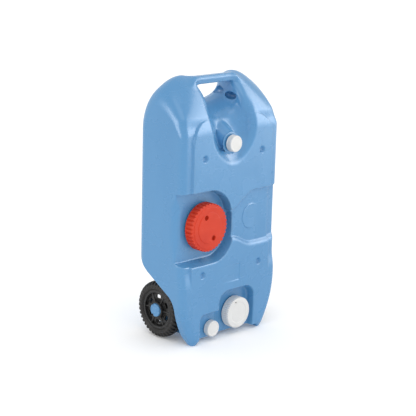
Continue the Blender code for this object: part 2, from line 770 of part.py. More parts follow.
def neck_and_bore(name, cap):
    """A neck as a solid stub, and the bore that opens it into the tank."""
    x, z = cap["x"], cap["z"]
    neck = cylinder(f"{name}_neck", neck_radius(cap), (x, neck_lip_y(cap), z),
                    (x, cap["floor_y"] + WALL / 2, z), cap["ribs"])
    bore = cylinder(f"{name}_bore", bore_radius(cap), (x, neck_lip_y(cap) - OVERSHOOT, z),
                    (x, cap["floor_y"] + WALL + 0.002, z), cap["ribs"])
    return link_cutter(neck), link_cutter(bore)


def axle_line(name, radius, half_length):
    return cylinder(name, radius, (-half_length, AXLE_Y, AXLE_Z), (half_length, AXLE_Y, AXLE_Z),
                    SMALL_ROUND_STEPS)


def tank_hollow():
    """The water space: the inner form, less all that reaches into it."""
    hollow = link_cutter(tank_form("tank_hollow", WALL, BELLY_Z + WALL))
    cut(hollow, link_cutter(valley_cutter("valley_inner", WALL)), *pocket_cutters(WALL))
    cut(hollow, filler_recess(WALL), side_recess(WALL), outlet_recess(WALL), drain_recess(WALL))
    cut(hollow, wheel_well(-1, WALL), wheel_well(1, WALL), keel_cutter(WALL))
    join(hollow, hump("hump_inner", WALL))
    tube = axle_line("tunnel_tube", AXLE_RADIUS + RUNNING_GAP + TUNNEL_WALL, KEEL_HALF + OVERSHOOT)
    cut(hollow, link_cutter(tube))
    return hollow


def tank_shell():
    """The blow-moulded tank in one piece: lobes, handle, recesses, necks, feet and axle tunnel."""
    shell = tank_form("tank_shell", 0.0, 0.0)
    cut(shell, link_cutter(valley_cutter("valley_outer", 0.0)), *pocket_cutters(0.0))
    cut(shell, filler_recess(0.0), side_recess(0.0), outlet_recess(0.0), drain_recess(0.0))
    cut(shell, wheel_well(-1, 0.0), wheel_well(1, 0.0), keel_cutter(0.0), belly_cutter(), toe_cutter())
    cut(shell, label_cutter(), *dimple_cutters())
    spout_z = TANK_HEIGHT - SPOUT_DROP
    collar = cylinder("spout_collar", SPOUT_COLLAR_RADIUS + SPOUT_COLLAR_LIP,
                      (SPOUT_X, SPOUT_COLLAR_Y, spout_z), (SPOUT_X, SPOUT_COLLAR_Y + 0.0025, spout_z))
    disc_floor = FRONT_Y + SIDE_RECESS_DEPTH
    disc = cylinder("side_disc", DISC_RADIUS, (DISC_CENTRE[0], disc_floor - DISC_HEIGHT, DISC_CENTRE[1]),
                    (DISC_CENTRE[0], disc_floor + 0.001, DISC_CENTRE[1]))
    join(shell, hump("hump_outer", 0.0), link_cutter(collar), handle_bar(), link_cutter(disc))
    necks = [neck_and_bore(name, cap) for name, cap in CAPS.items()]
    join(shell, *[neck for neck, bore in necks])
    cut(shell, tank_hollow(), *[bore for neck, bore in necks])
    cut(shell, link_cutter(axle_line("tunnel_bore", AXLE_RADIUS + RUNNING_GAP, KEEL_HALF + OVERSHOOT)))
    smooth(shell)
    return link_part(shell, "tank_blue")


def groove_ring(name, cap):
    """Round cutters that leave grip ribs between them on a cap's rim."""
    radius = cap["diameter"] / 2
    centre_radius = radius + cap["rib_radius"] - cap["rib_depth"]
    place_z = cap["depth"] / 2

    def fill(work):
        for i in range(cap["ribs"]):
            angle = 2 * math.pi * (i + 0.5) / cap["ribs"]
            place = Matrix.Translation((centre_radius * math.cos(angle), centre_radius * math.sin(angle),
                                        place_z)) @ Matrix.Rotation(angle, 4, "Z")
            bmesh.ops.create_cone(work, cap_ends=True, segments=cap["rib_sides"], radius1=cap["rib_radius"],
                                  radius2=cap["rib_radius"], depth=cap["depth"] + 0.004, matrix=place)
    return link_cutter(mesh_object(name, fill))


def cap_profile(cap, face_steps):
    """Cup profile from the middle of the face, down the outside and up the inside."""
    radius = cap["diameter"] / 2
    depth = cap["depth"]
    chamfer = 0.0012
    inner = cap_inner_radius(cap)
    ceiling = depth - cap["top"]
    first_drop = sum(drop for ring, drop in face_steps)
    points = [(0.0, depth - first_drop)]
    level = depth - first_drop
    for ring, drop in face_steps:
        points.append((ring - 0.0004, level))
        level += drop
        points.append((ring, level))
    points += [(radius - chamfer, depth), (radius, depth - chamfer), (radius, 0.0), (inner, 0.0),
               (inner, ceiling), (0.0, ceiling)]
    return points


def place_on_neck(obj, cap):
    """Stand a turned piece on its neck: local +Z points out, to -Y."""
    obj.location = (cap["x"], cap["floor_y"] - cap["gap"], cap["z"])
    obj.rotation_euler = (math.radians(90), 0.0, 0.0)


def screw_cap(name, cap, material_name, face_steps):
    """Screw cap with a ribbed rim."""
    body = turned(f"{name}_cap", cap_profile(cap, face_steps), cap["ribs"], closed=False)
    place_on_neck(body, cap)
    grooves = groove_ring(f"{name}_grooves", cap)
    place_on_neck(grooves, cap)
    cut(body, grooves)
    return link_part(body, material_name)


def filler_cap():
    """Large red cap with two blind wells for a wrench."""
    cap = CAPS["filler"]
    outer = cap["diameter"] / 2
    body = screw_cap("filler", cap, "cap_red", ((outer - 0.01925, 0.0006), (outer - 0.00725, 0.0006)))
    face_z = cap["depth"]
    ceiling = face_z - cap["top"]
    for number, turn in enumerate((0.0, math.pi)):
        angle = math.pi / 2 + WELL_TILT + turn
        x, y = WELL_OFFSET * math.cos(angle), WELL_OFFSET * math.sin(angle)
        boss = cylinder(f"wrench_boss_{number}", WELL_RADIUS + 0.0016,
                        (x, y, face_z - WELL_DEPTH - 0.0016), (x, y, ceiling + 0.001), 16)
        well = cylinder(f"wrench_well_{number}", WELL_RADIUS, (x, y, face_z - WELL_DEPTH),
                        (x, y, face_z + OVERSHOOT), 16)
        for guide in (boss, well):
            place_on_neck(guide, cap)
            link_cutter(guide)
        join(body, boss)
        cut(body, well)
    return body


def outlet_cap():
    """White cap with a raised rim round a sunk face, and a small vent hole."""
    cap = CAPS["outlet"]
    body = screw_cap("outlet", cap, "cap_white", ((cap["diameter"] / 2 - 0.00525, 0.0010),))
    x, y = VENT_PLACE
    vent = cylinder("vent", VENT_RADIUS, (x, y, cap["depth"] - cap["top"] - OVERSHOOT),
                    (x, y, cap["depth"] + OVERSHOOT), 12)
    place_on_neck(vent, cap)
    cut(body, link_cutter(vent))
    return body


def seal_ring(name, cap):
    """Flat sealing ring between the neck's lip and the cap."""
    top = cap["depth"] - cap["top"] - RUNNING_GAP
    bottom = top - SEAL_THICKNESS
    outer = neck_radius(cap) + SEAL_INSET
    inner = bore_radius(cap) + SEAL_INSET
    ring = turned(f"{name}_seal", [(inner, top), (outer, top), (outer, bottom), (inner, bottom)],
                  cap["ribs"])
    place_on_neck(ring, cap)
    return link_part(ring, "seal_grey")


def along_axle(x):
    """Height above the wheel's middle plane, in its own frame, of a point at distance x."""
    return x - WHEEL_X


def hub_start():
    """Inner end of the hub, outside the tank's flank and the inner washer."""
    return KEEL_HALF + WASHER_THICKNESS + 2 * RUNNING_GAP


def hub_shoulder():
    """Where the bearing seat ends and the pocket for the axle nut begins."""
    return hub_start() + HUB_SEAT_LENGTH


def wheel_place(obj, side):
    """Put a turned piece on the axle with its local +Z pointing away from the tank."""
    obj.location = (side * WHEEL_X, AXLE_Y, AXLE_Z)
    obj.rotation_euler = (0.0, side * math.radians(90), 0.0)


def ring_profile(inner, outer, low, high):
    return [(inner, high), (outer, high), (outer, low), (inner, low)]


def tyre(side, label):
    """Tyre with a crowned tread and lugs divided by notches in both shoulders."""
    half = WHEEL_WIDTH / 2
    drop = WHEEL_RADIUS - TYRE_SEAT_RADIUS
    crown = [(WHEEL_RADIUS - share * drop, half - inset) for share, inset in TYRE_CROWN]
    profile = crown + [(radius, -z) for radius, z in reversed(crown)]
    body = turned(f"{label}_tyre", profile, WHEEL_STEPS)
    notches = lug_notches(f"{label}_lug_notches")
    wheel_place(body, side)
    wheel_place(notches, side)
    cut(body, link_cutter(notches))
    return link_part(body, "tyre_black")


def lug_notches(name):
    """Boxes that cut across each shoulder of the tread, staggered between the two sides."""
    shoulder_radius = WHEEL_RADIUS - 0.0055
    shoulder_z = WHEEL_WIDTH / 2 - 0.0035
    height = 0.012
    size = Matrix.Diagonal((height, LUG_GAP, LUG_LENGTH, 1.0))
    out = Matrix.Translation((height / 2 - LUG_DEPTH, 0.0, 0.0))

    def fill(work):
        for side in (-1, 1):
            lean = Matrix.Rotation(-side * LUG_TILT, 4, "Y")
            shoulder = Matrix.Translation((shoulder_radius, 0.0, side * shoulder_z))
            for i in range(LUG_COUNT):
                angle = 2 * math.pi * (i + (0.25 if side > 0 else 0.75)) / LUG_COUNT
                place = Matrix.Rotation(angle, 4, "Z") @ shoulder @ lean @ out @ size
                bmesh.ops.create_cube(work, size=1.0, matrix=place)
    return mesh_object(name, fill)


def rim(side, label):
    """Wheel centre: ring under the tyre, web with windows, and hub with the nut's pocket."""
    start = along_axle(hub_start())
    shoulder = along_axle(hub_shoulder())
    end = shoulder + HUB_POCKET_DEPTH
    seat = BUSH_RADIUS + RUNNING_GAP
    outer = TYRE_SEAT_RADIUS - RUNNING_GAP
    inner = outer - RIM_RING
    web_top = WEB_OFFSET
    web_low = WEB_OFFSET - WEB_THICKNESS
    profile = [(seat, shoulder), (HUB_POCKET_RADIUS, shoulder), (HUB_POCKET_RADIUS, end),
               (HUB_RADIUS, end), (HUB_RADIUS, web_top), (inner, web_top), (inner, RIM_HALF_WIDTH),
               (outer, RIM_HALF_WIDTH), (outer, -RIM_HALF_WIDTH), (inner, -RIM_HALF_WIDTH),
               (inner, web_low), (HUB_RADIUS, web_low), (HUB_RADIUS, start), (seat, start)]
    body = turned(f"{label}_rim", profile, WHEEL_STEPS)
    windows = rim_windows(f"{label}_rim_windows", web_low, web_top)
    wheel_place(body, side)
    wheel_place(windows, side)
    cut(body, link_cutter(windows))
    return link_part(body, "rim_black")


def rim_windows(name, low, high):
    """Crescent windows through the web."""
    inner, outer = WINDOW_RADII
    steps = 2

    def fill(work):
        for i in range(WINDOW_COUNT):
            middle = 2 * math.pi * i / WINDOW_COUNT
            angles = [middle + WINDOW_HALF_ANGLE * (2 * step / steps - 1) for step in range(steps + 1)]
            outline = [(outer * math.cos(a), outer * math.sin(a)) for a in angles]
            outline += [(inner * math.cos(a), inner * math.sin(a)) for a in reversed(angles)]
            loops = [[work.verts.new((x, y, z)) for x, y in outline] for z in (low - 0.003, high + 0.003)]
            join_loops(work, *loops)
            work.faces.new(loops[0])
            work.faces.new(loops[1])
    return mesh_object(name, fill)


def bush(side, label):
    """Bearing sleeve between hub and axle."""
    profile = ring_profile(AXLE_RADIUS + RUNNING_GAP, BUSH_RADIUS, along_axle(hub_start()),
                           along_axle(hub_shoulder()))
    body = turned(f"{label}_bush", profile, SMALL_ROUND_STEPS)
    wheel_place(body, side)
    return link_part(body, "nylon")


def washer(side, label, place, start):
    """Flat washer on the axle."""
    low = along_axle(start)
    profile = ring_profile(AXLE_RADIUS + RUNNING_GAP, WASHER_RADIUS, low, low + WASHER_THICKNESS)
    body = turned(f"{label}_{place}_washer", profile, SMALL_ROUND_STEPS)
    wheel_place(body, side)
    return link_part(body, "zinc")


def nut_start():
    return hub_shoulder() + WASHER_THICKNESS + 2 * RUNNING_GAP


def axle_end():
    """The axle stops under the roof of its nut."""
    return nut_start() + NUT_HEIGHT - NUT_ROOF - RUNNING_GAP


def axle_nut(side, label):
    """Push-on nut that closes the end of the axle."""
    low = along_axle(nut_start())
    high = low + NUT_HEIGHT
    grip = AXLE_RADIUS + RUNNING_GAP
    profile = [(0.0, high), (NUT_RADIUS - 0.003, high), (NUT_RADIUS, high - 0.0015), (NUT_RADIUS, low),
               (grip, low), (grip, high - NUT_ROOF), (0.0, high - NUT_ROOF)]
    body = turned(f"{label}_axle_nut", profile, SMALL_ROUND_STEPS, closed=False)
    wheel_place(body, side)
    return link_part(body, "zinc")


def hub_cap(side, label):
    """Blue cap in the hub's pocket, over the nut, with three notches in its edge."""
    radius = HUB_POCKET_RADIUS - RUNNING_GAP
    inner = radius - HUB_CAP_WALL
    seat = along_axle(hub_shoulder()) + HUB_POCKET_DEPTH - HUB_CAP_SKIRT
    ceiling = seat + HUB_CAP_SKIRT
    high = ceiling + HUB_CAP_TOP
    profile = [(0.0, high), (radius - 0.002, high), (radius, high - 0.0015), (radius, seat),
               (inner, seat), (inner, ceiling), (0.0, ceiling)]
    body = turned(f"{label}_hub_cap", profile, 20, closed=False)

    def fill(work):
        reach = radius + 0.001
        for i in range(HUB_CAP_NOTCHES):
            angle = math.pi / 2 + 2 * math.pi * i / HUB_CAP_NOTCHES
            place = Matrix.Translation((reach * math.cos(angle), reach * math.sin(angle), high))
            bmesh.ops.create_cone(work, cap_ends=True, segments=12, radius1=HUB_CAP_NOTCH_RADIUS,
                                  radius2=HUB_CAP_NOTCH_RADIUS, depth=2 * (HUB_CAP_TOP - 0.001),
                                  matrix=place)
    notches = mesh_object(f"{label}_hub_cap_notches", fill)
    wheel_place(body, side)
    wheel_place(notches, side)
    cut(body, link_cutter(notches))
    return link_part(body, "hub_blue")


def axle():
    """Steel rod through the tank's tunnel, carrying both wheels."""
    return link_part(axle_line("axle", AXLE_RADIUS, axle_end()), "zinc")


def wheel(side, label):
    """All the pieces of one wheel, from the tank outwards."""
    washer(side, label, "inner", KEEL_HALF + RUNNING_GAP)
    tyre(side, label)
    rim(side, label)
    bush(side, label)
    washer(side, label, "outer", hub_shoulder() + RUNNING_GAP)
    axle_nut(side, label)
    hub_cap(side, label)


def place_origin():
    """One parent moves everything, so that the origin is under the middle of the bounding box."""
    front = min(cap_face_y(cap) for cap in CAPS.values())
    back = AXLE_Y + WHEEL_RADIUS
    origin = bpy.data.objects.new("ground_origin", None)
    PARTS.objects.link(origin)
    origin.location = (0.0, -(front + back) / 2, 0.0)
    for obj in list(PARTS.objects) + list(CUTTERS.objects):
        if obj is not origin:
            obj.parent = origin


clear_scene()
PARTS = new_collection("wheeled_water_tank")
CUTTERS = new_collection("cutters")
tank_shell()
axle()
filler_cap()
outlet_cap()
screw_cap("spout", CAPS["spout"], "cap_white", ((0.0145, 0.0006),))
screw_cap("drain", CAPS["drain"], "cap_white", ((0.0145, 0.0006),))
for cap_name, cap_sizes in CAPS.items():
    seal_ring(cap_name, cap_sizes)
wheel(-1, "left")
wheel(1, "right")
place_origin()
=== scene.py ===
import math

import bmesh
import bpy
import numpy as np
from mathutils import Matrix, Vector


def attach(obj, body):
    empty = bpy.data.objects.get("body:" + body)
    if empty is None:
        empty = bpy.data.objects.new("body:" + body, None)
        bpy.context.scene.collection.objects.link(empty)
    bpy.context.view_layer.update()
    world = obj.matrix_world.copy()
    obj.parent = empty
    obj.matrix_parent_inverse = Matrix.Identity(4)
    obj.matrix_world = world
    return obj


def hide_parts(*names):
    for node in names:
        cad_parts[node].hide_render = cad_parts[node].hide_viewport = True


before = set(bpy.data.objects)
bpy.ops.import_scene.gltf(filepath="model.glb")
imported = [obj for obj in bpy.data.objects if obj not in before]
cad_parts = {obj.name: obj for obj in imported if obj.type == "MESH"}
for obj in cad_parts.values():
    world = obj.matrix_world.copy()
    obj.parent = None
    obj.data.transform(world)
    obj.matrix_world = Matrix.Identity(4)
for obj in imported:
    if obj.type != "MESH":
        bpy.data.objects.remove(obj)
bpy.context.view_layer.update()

# The tank stands on a plain pale floor in a white room that fills the shadows. One broad weak sun hangs
# high at the left, and large lamps around the tank show only as gleams on its lobes and edges.
scene = bpy.context.scene
scene.view_settings.view_transform = "Standard"
scene.view_settings.look = "None"
room = bpy.data.worlds.new("white_room")
room.use_nodes = True
room_light = room.node_tree.nodes["Background"].inputs
room_light["Color"].default_value = (1.0, 1.0, 1.0, 1.0)
room_light["Strength"].default_value = 0.96
scene.world = room


def plain_mesh(name, points, faces):
    """Mesh object of these points and faces."""
    mesh = bpy.data.meshes.new(name)
    mesh.from_pydata(points, [], faces)
    mesh.validate()
    made = bpy.data.objects.new(name, mesh)
    scene.collection.objects.link(made)
    return made


floor_reach = 60.0
floor = plain_mesh("floor", [(-floor_reach, -floor_reach, 0.0), (floor_reach, -floor_reach, 0.0),
                             (floor_reach, floor_reach, 0.0), (-floor_reach, floor_reach, 0.0)],
                   [(0, 1, 2, 3)])
floor_paint = bpy.data.materials.new("pale_floor")
floor_paint.use_nodes = True
sockets = floor_paint.node_tree.nodes["Principled BSDF"].inputs
sockets["Base Color"].default_value = (0.98, 0.98, 0.98, 1.0)
sockets["Roughness"].default_value = 0.9
sockets["Specular IOR Level"].default_value = 0.1
sockets["Emission Color"].default_value = (1.0, 1.0, 1.0, 1.0)
sockets["Emission Strength"].default_value = 0.10
floor.data.materials.append(floor_paint)


def sun(name, towards, degrees, strength):
    """Soft sun that stands in this direction and looks that many degrees wide."""
    data = bpy.data.lights.new(name, "SUN")
    data.angle = math.radians(degrees)
    data.energy = strength
    lamp = bpy.data.objects.new(name, data)
    lamp.rotation_euler = (-Vector(towards)).to_track_quat("-Z", "Y").to_euler()
    scene.collection.objects.link(lamp)


sun("key_sun", (-0.30, -0.35, 0.89), degrees=40.0, strength=0.38)
TANK_MIDDLE = Vector((0.0, 0.0, 0.30))


def soft_box(name, towards, distance, width, height, power):
    """Wide lamp that faces the tank from this direction and only shows as a gleam."""
    data = bpy.data.lights.new(name, "AREA")
    data.shape = "RECTANGLE"
    data.size, data.size_y = width, height
    data.energy = power
    lamp = bpy.data.objects.new(name, data)
    away = Vector(towards).normalized()
    lamp.location = TANK_MIDDLE + away * distance
    lamp.rotation_euler = (-away).to_track_quat("-Z", "Y").to_euler()
    lamp.visible_diffuse = lamp.visible_camera = False
    scene.collection.objects.link(lamp)


# three nested panels, so that the gleam of the front lamp fades towards its edges
front_distance, front_width, front_height = 3.0, 2.6, 2.0
for number, (share, power) in enumerate(((0.65, 8.0), (1.0, 18.0), (1.35, 22.0))):
    soft_box(f"front_box_{number}", (0.62, -0.70, 0.36), front_distance + 0.05 * number,
             front_width * share, front_height * share, power)
soft_box("high_box", (0.70, -0.50, 0.56), distance=3.2, width=2.6, height=2.4, power=60.0)
soft_box("side_box", (-0.95, 0.19, 0.30), distance=3.0, width=1.5, height=1.5, power=36.0)
soft_box("low_box", (0.66, -0.74, -0.12), distance=2.2, width=3.4, height=0.8, power=15.0)

# The camera stands in front and to the left, about 0.4 m over the tank's top. Its place and lens
# were solved from the edges of the tank in the photograph, which is 416 pixels wide.
AIM = Vector((0.022265, 0.018, 0.278746))
DISTANCE = 2.83179
PITCH, YAW, ROLL = 0.2481838, 0.7827715, 0.0266592
FOCAL_PIXELS, FRAME_PIXELS, SENSOR = 1234.740, 416, 36.0
forward = Vector((math.sin(YAW) * math.cos(PITCH), math.cos(YAW) * math.cos(PITCH), -math.sin(PITCH)))
level = forward.cross(Vector((0.0, 0.0, 1.0))).normalized()
upright = level.cross(forward)
right = level * math.cos(ROLL) + upright * math.sin(ROLL)
up = upright * math.cos(ROLL) - level * math.sin(ROLL)
camera_data = bpy.data.cameras.new("camera")
camera_data.sensor_width = SENSOR
camera_data.lens = SENSOR * FOCAL_PIXELS / FRAME_PIXELS
camera = bpy.data.objects.new("camera", camera_data)
turn = Matrix((right, up, -forward)).transposed().to_4x4()
camera.matrix_world = Matrix.Translation(AIM - forward * DISTANCE) @ turn
scene.collection.objects.link(camera)
scene.camera = camera

# The tank is one blow-moulded shell of blue polyethylene: two lobes with a valley and a handle
# between them, recesses for the caps, two feet and the block that holds the axle. Its skin is the
# zero level of a field that rises with the distance, so that every edge gets its moulded rounding.
MIDDLE_Y = -0.0085  # the shell is measured from its own middle, which stands here in the frame
TOP = 0.597
FRONT, BACK = -0.075, 0.075
HALF_WIDTH = 0.150
SHARP_EDGE, SOFT_EDGE = 0.016, 0.022  # how the shell's outer edge is rounded in front and behind
RISE, CROWN = 0.122, 0.0185  # how high the arch over the shell is, and how far back its crown lies
SPRING = TOP - RISE
FRONT_POWER, BACK_POWER = 1.45, 2.10  # how square its front and back quarters are
TUCK_HEIGHT, TUCK_IN = 0.125, 0.040  # below this height the flanks draw in by this much


def ease(t):
    """Smooth step from 0 to 1."""
    t = np.clip(t, 0.0, 1.0)
    return t * t * (3.0 - 2.0 * t)


def meet(a, b, radius):
    """What two bodies share, with the edge between them rounded."""
    corner = np.hypot(np.maximum(a + radius, 0.0), np.maximum(b + radius, 0.0))
    return np.minimum(np.maximum(a, b), -radius) + corner


def merge(a, b, radius):
    """Two bodies together, with a fillet between them."""
    return -meet(-a, -b, radius)


def carve(a, b, radius):
    """Body a less body b, with the new edge rounded."""
    return meet(a, -b, radius)


def smooth_rule(rows, blur):
    """Function of position that gives the other columns of the rows, with their corners eased."""
    rows, fine = np.array(rows), 500
    at = np.linspace(rows[0, 0], rows[-1, 0], fine)
    reach = max(int(blur / (at[1] - at[0])), 1)
    weights = np.hanning(2 * reach + 3)[1:-1]
    weights /= weights.sum()
    lines = []
    for column in rows.T[1:]:
        line = np.interp(at, rows[:, 0], column)
        before = line[0] + (line[1] - line[0]) * np.arange(-reach, 0)
        after = line[-1] + (line[-1] - line[-2]) * np.arange(1, reach + 1)
        lines.append(np.convolve(np.concatenate([before, line, after]), weights, "valid"))
    return lambda v: [np.interp(v, at, line) for line in lines]


# depth, drop below the top, half width and corner rise of the valley
valley_rule = smooth_rule(((-0.092, 0.210, 0.066, 0.110), (-0.075, 0.193, 0.062, 0.103),
                           (-0.068, 0.186, 0.0615, 0.096), (-0.054, 0.161, 0.060, 0.080),
                           (-0.040, 0.128, 0.053, 0.060), (-0.026, 0.103, 0.051, 0.048),
                           (-0.010, 0.090, 0.051, 0.036), (0.008, 0.078, 0.052, 0.028),
                           (0.022, 0.069, 0.053, 0.024), (0.038, 0.065, 0.057, 0.024),
                           (0.056, 0.068, 0.064, 0.028), (0.074, 0.076, 0.072, 0.034),
                           (0.092, 0.092, 0.080, 0.040)), 0.007)
# height, and how far back the block between the wheels reaches there
keel_rule = smooth_rule(((-0.020, 0.011), (0.009, 0.036), (0.034, 0.058), (0.120, 0.060),
                         (0.196, 0.074), (0.230, 0.080), (0.700, 0.160)), 0.009)


def arch_line(x, y, z):
    """The side outline: upright front and back under an arch that falls away to the flanks."""
    fall_start, fall_blend, outward_fall, inward_fall = 0.0695, 0.012, 1.70, 1.6
    out = np.abs(x) - fall_start
    rise = RISE - 0.0015 - outward_fall * (out + np.hypot(out, fall_blend)) ** 2
    rise = rise - inward_fall * np.maximum(0.105 - np.abs(x), 0.0) ** 2
    along = y - CROWN
    ahead = along < 0
    reach = np.where(ahead, CROWN - FRONT, BACK - CROWN)
    power = np.where(ahead, FRONT_POWER, BACK_POWER)
    u = np.abs(along) / reach
    v = np.maximum(z - SPRING, 0.0) / rise
    ring = np.maximum((u ** power + v ** power) ** (1.0 / power), 0.05)
    slope = np.hypot((u / ring) ** (power - 1.0) / reach, (v / ring) ** (power - 1.0) / rise)
    return (ring - 1.0) / slope


def oval(u, v, a, b):
    """Distance to an ellipse, near enough."""
    near = np.hypot(u / a, v / b)
    return near * (near - 1.0) / np.maximum(np.hypot(u / a ** 2, v / b ** 2), 0.5)


def trough(x, y, z):
    """The valley as it is cut across: upright walls over half an ellipse."""
    drop, half, corner = valley_rule(y)
    return oval(x, np.minimum(z - (TOP - drop) - corner, 0.0), half, corner)


def valley(x, y, z):
    """The valley, with its distance put right where its floor falls to the front."""
    step = 0.002
    here = trough(x, y, z)
    fall = (trough(x, y + step, z) - trough(x, y - step, z)) / (2 * step)
    return here / np.sqrt(1.0 + fall ** 2)


def ball(x, y, z, centre, sizes):
    """Distance to an ellipsoid, near enough."""
    u, v, w = (x - centre[0]), (y - centre[1]), (z - centre[2])
    near = np.sqrt((u / sizes[0]) ** 2 + (v / sizes[1]) ** 2 + (w / sizes[2]) ** 2)
    slope = np.sqrt((u / sizes[0] ** 2) ** 2 + (v / sizes[1] ** 2) ** 2 + (w / sizes[2] ** 2) ** 2)
    return near * (near - 1.0) / np.maximum(slope, 0.5)


def front_relief(x, z):
    """How far the front skin is set back: side bands, dimples, oblong field and raised disc."""
    band_deep, dimple_deep, oblong_deep, disc_high = 0.0058, 0.0060, 0.0011, 0.0017
    panel_half, panel_top, panel_corner = 0.1235, 0.5085, 0.0535
    panel = meet(np.abs(x) - panel_half, z - panel_top, panel_corner)
    share = ease((z - 0.135) / 0.045) * ease((0.516 - z) / 0.026)
    relief = band_deep * ease(0.5 + panel / 0.0036) * share
    for side in (-1, 1):
        for height in (0.163, TOP - 0.173):
            off = np.hypot(x - side * 0.089, z - height)
            relief = relief + dimple_deep * (1.0 - ease((off - 0.0030) / 0.0062))
    oblong = meet(np.abs(x + 0.002) - 0.030, np.abs(z - 0.1505) - 0.0195, 0.002)
    relief = relief + oblong_deep * ease(0.5 - oblong / 0.0022) * ease((x + 0.030) / 0.050)
    disc = np.hypot(x - 0.0665, z - 0.2730) - 0.0290
    return relief - disc_high * ease(0.5 - disc / 0.0018) * ease((0.090 - x) / 0.040)


def filler_place(x, y, z):
    """Recess of the filler cap, open to the left flank, with a broad slope below."""
    top, low, deep = 0.3515, 0.1855, 0.026
    top_corner, low_corner = 0.067, 0.062
    sink = y - FRONT
    right = -0.0025 + 0.0075 * ease((0.301 - z) / 0.014)
    wall = meet(x - right, z - top + 0.12 * sink, top_corner)
    # here and below, a slanting face is divided by its slope's length, which keeps its distance true
    ledge = (low + 0.36 * sink - z) / 1.063
    outline = meet(wall, ledge, low_corner)
    slant = 0.10 * np.maximum(-0.129 - x, 0.0)
    return meet(outline, sink - deep - slant, 0.0022)


def side_place(x, y, z):
    """Shallow recess on the right with S-shaped ends of its upper and lower edges."""
    deep = 0.0075
    sink = y - FRONT
    top = 0.296 + 0.039 * ease((x + 0.012) / 0.082) - 0.2 * sink
    low = 0.229 - 0.022 * ease((x - 0.003) / 0.064) + 0.95 * sink
    outline = meet((z - top) / 1.15, (low - z) / 1.45, 0.003)
    outline = meet(outline, -0.012 - x, 0.001)
    return meet(outline, sink - deep - 0.10 * np.maximum(x - 0.115, 0.0), 0.0012)


def arched_place(x, y, z, left, right, top, radius_left, radius_right, deep):
    """Recess with a rounded top, open at the bottom."""
    sink = y - FRONT
    draft = 0.15 * sink
    outline = meet(left + draft - x, z - top + draft, radius_left)
    outline = meet(outline, x - right + draft, radius_right)
    return meet(outline, sink - deep, 0.0045)


def wheel_well(x, y, z):
    """Space of a wheel, behind the foot and below a line that climbs to the back."""
    low_slope, high_slope, block_half = 0.5870, 3.2, 0.090
    low_roof = ((z - 0.106) - low_slope * (y + 0.044)) / 1.1595
    high_roof = ((z - 0.176) - high_slope * (y - 0.0660)) / 3.353
    roof = merge(low_roof, high_roof, 0.020)
    heel = (-0.0435 - y) - 0.40 * np.maximum(0.024 - z, 0.0)
    side_view = meet(roof, heel, 0.016)
    return meet(side_view, block_half - np.abs(x), 0.006)


def handle(x, y, z):
    """Six-sided bar with rounded edges, thicker towards the lobes."""
    height, droop, half_length = 0.5838, 0.016, 0.082
    flare = 1.0 + 0.30 * ease((np.abs(x) - 0.044) / 0.024)
    u = (y - 0.003) / flare
    v = (z - height + droop * ease((np.abs(x) - 0.058) / 0.024)) / (1.0 + (flare - 1.0) * 0.4)
    corners = ((-0.0132, 0.0028), (-0.0115, -0.0092), (0.0060, -0.0106), (0.0130, -0.0010),
               (0.0085, 0.0076), (-0.0075, 0.0082))
    bar = None
    for start, end in zip(corners, corners[1:] + corners[:1]):
        along = Vector(end) - Vector(start)
        side = (u - start[0]) * along.y - (v - start[1]) * along.x
        side = side / along.length
        bar = side if bar is None else meet(bar, side, 0.0015)
    return meet(bar, np.abs(x) - half_length, 0.006)


SPOUT_HEIGHT, SPOUT_FRONT = 0.448, -0.062


def hump(x, y, z):
    """Slanting cone that carries the spout, the collar round its front, and the groove at its left."""
    front_radius, collar_radius, groove_radius = 0.023, 0.0245, 0.027
    length, climb, widening = 0.054, 0.026, 0.007
    share = (y - SPOUT_FRONT) / length
    cone = np.hypot(x, z - SPOUT_HEIGHT - climb * share) - front_radius - widening * share
    cone = meet(meet(cone / 1.08, SPOUT_FRONT - y, 0.002), y - 0.020, 0.002)
    collar = meet(np.hypot(x, z - SPOUT_HEIGHT) - collar_radius, np.abs(y + 0.0606) - 0.0014, 0.0008)
    groove = np.hypot(x + 0.012, z - 0.440 - 0.020 * share) - groove_radius - 0.004 * share
    return cone, collar, meet(meet(groove, y + 0.020, 0.006), 0.432 - z, 0.010)


# two finger hollows in the inner wall of each lobe: depth, drop below the top, and half sizes
HOLLOWS = ((-0.006, 0.057, (0.010, 0.019, 0.009)), (0.036, 0.051, (0.010, 0.019, 0.011)))


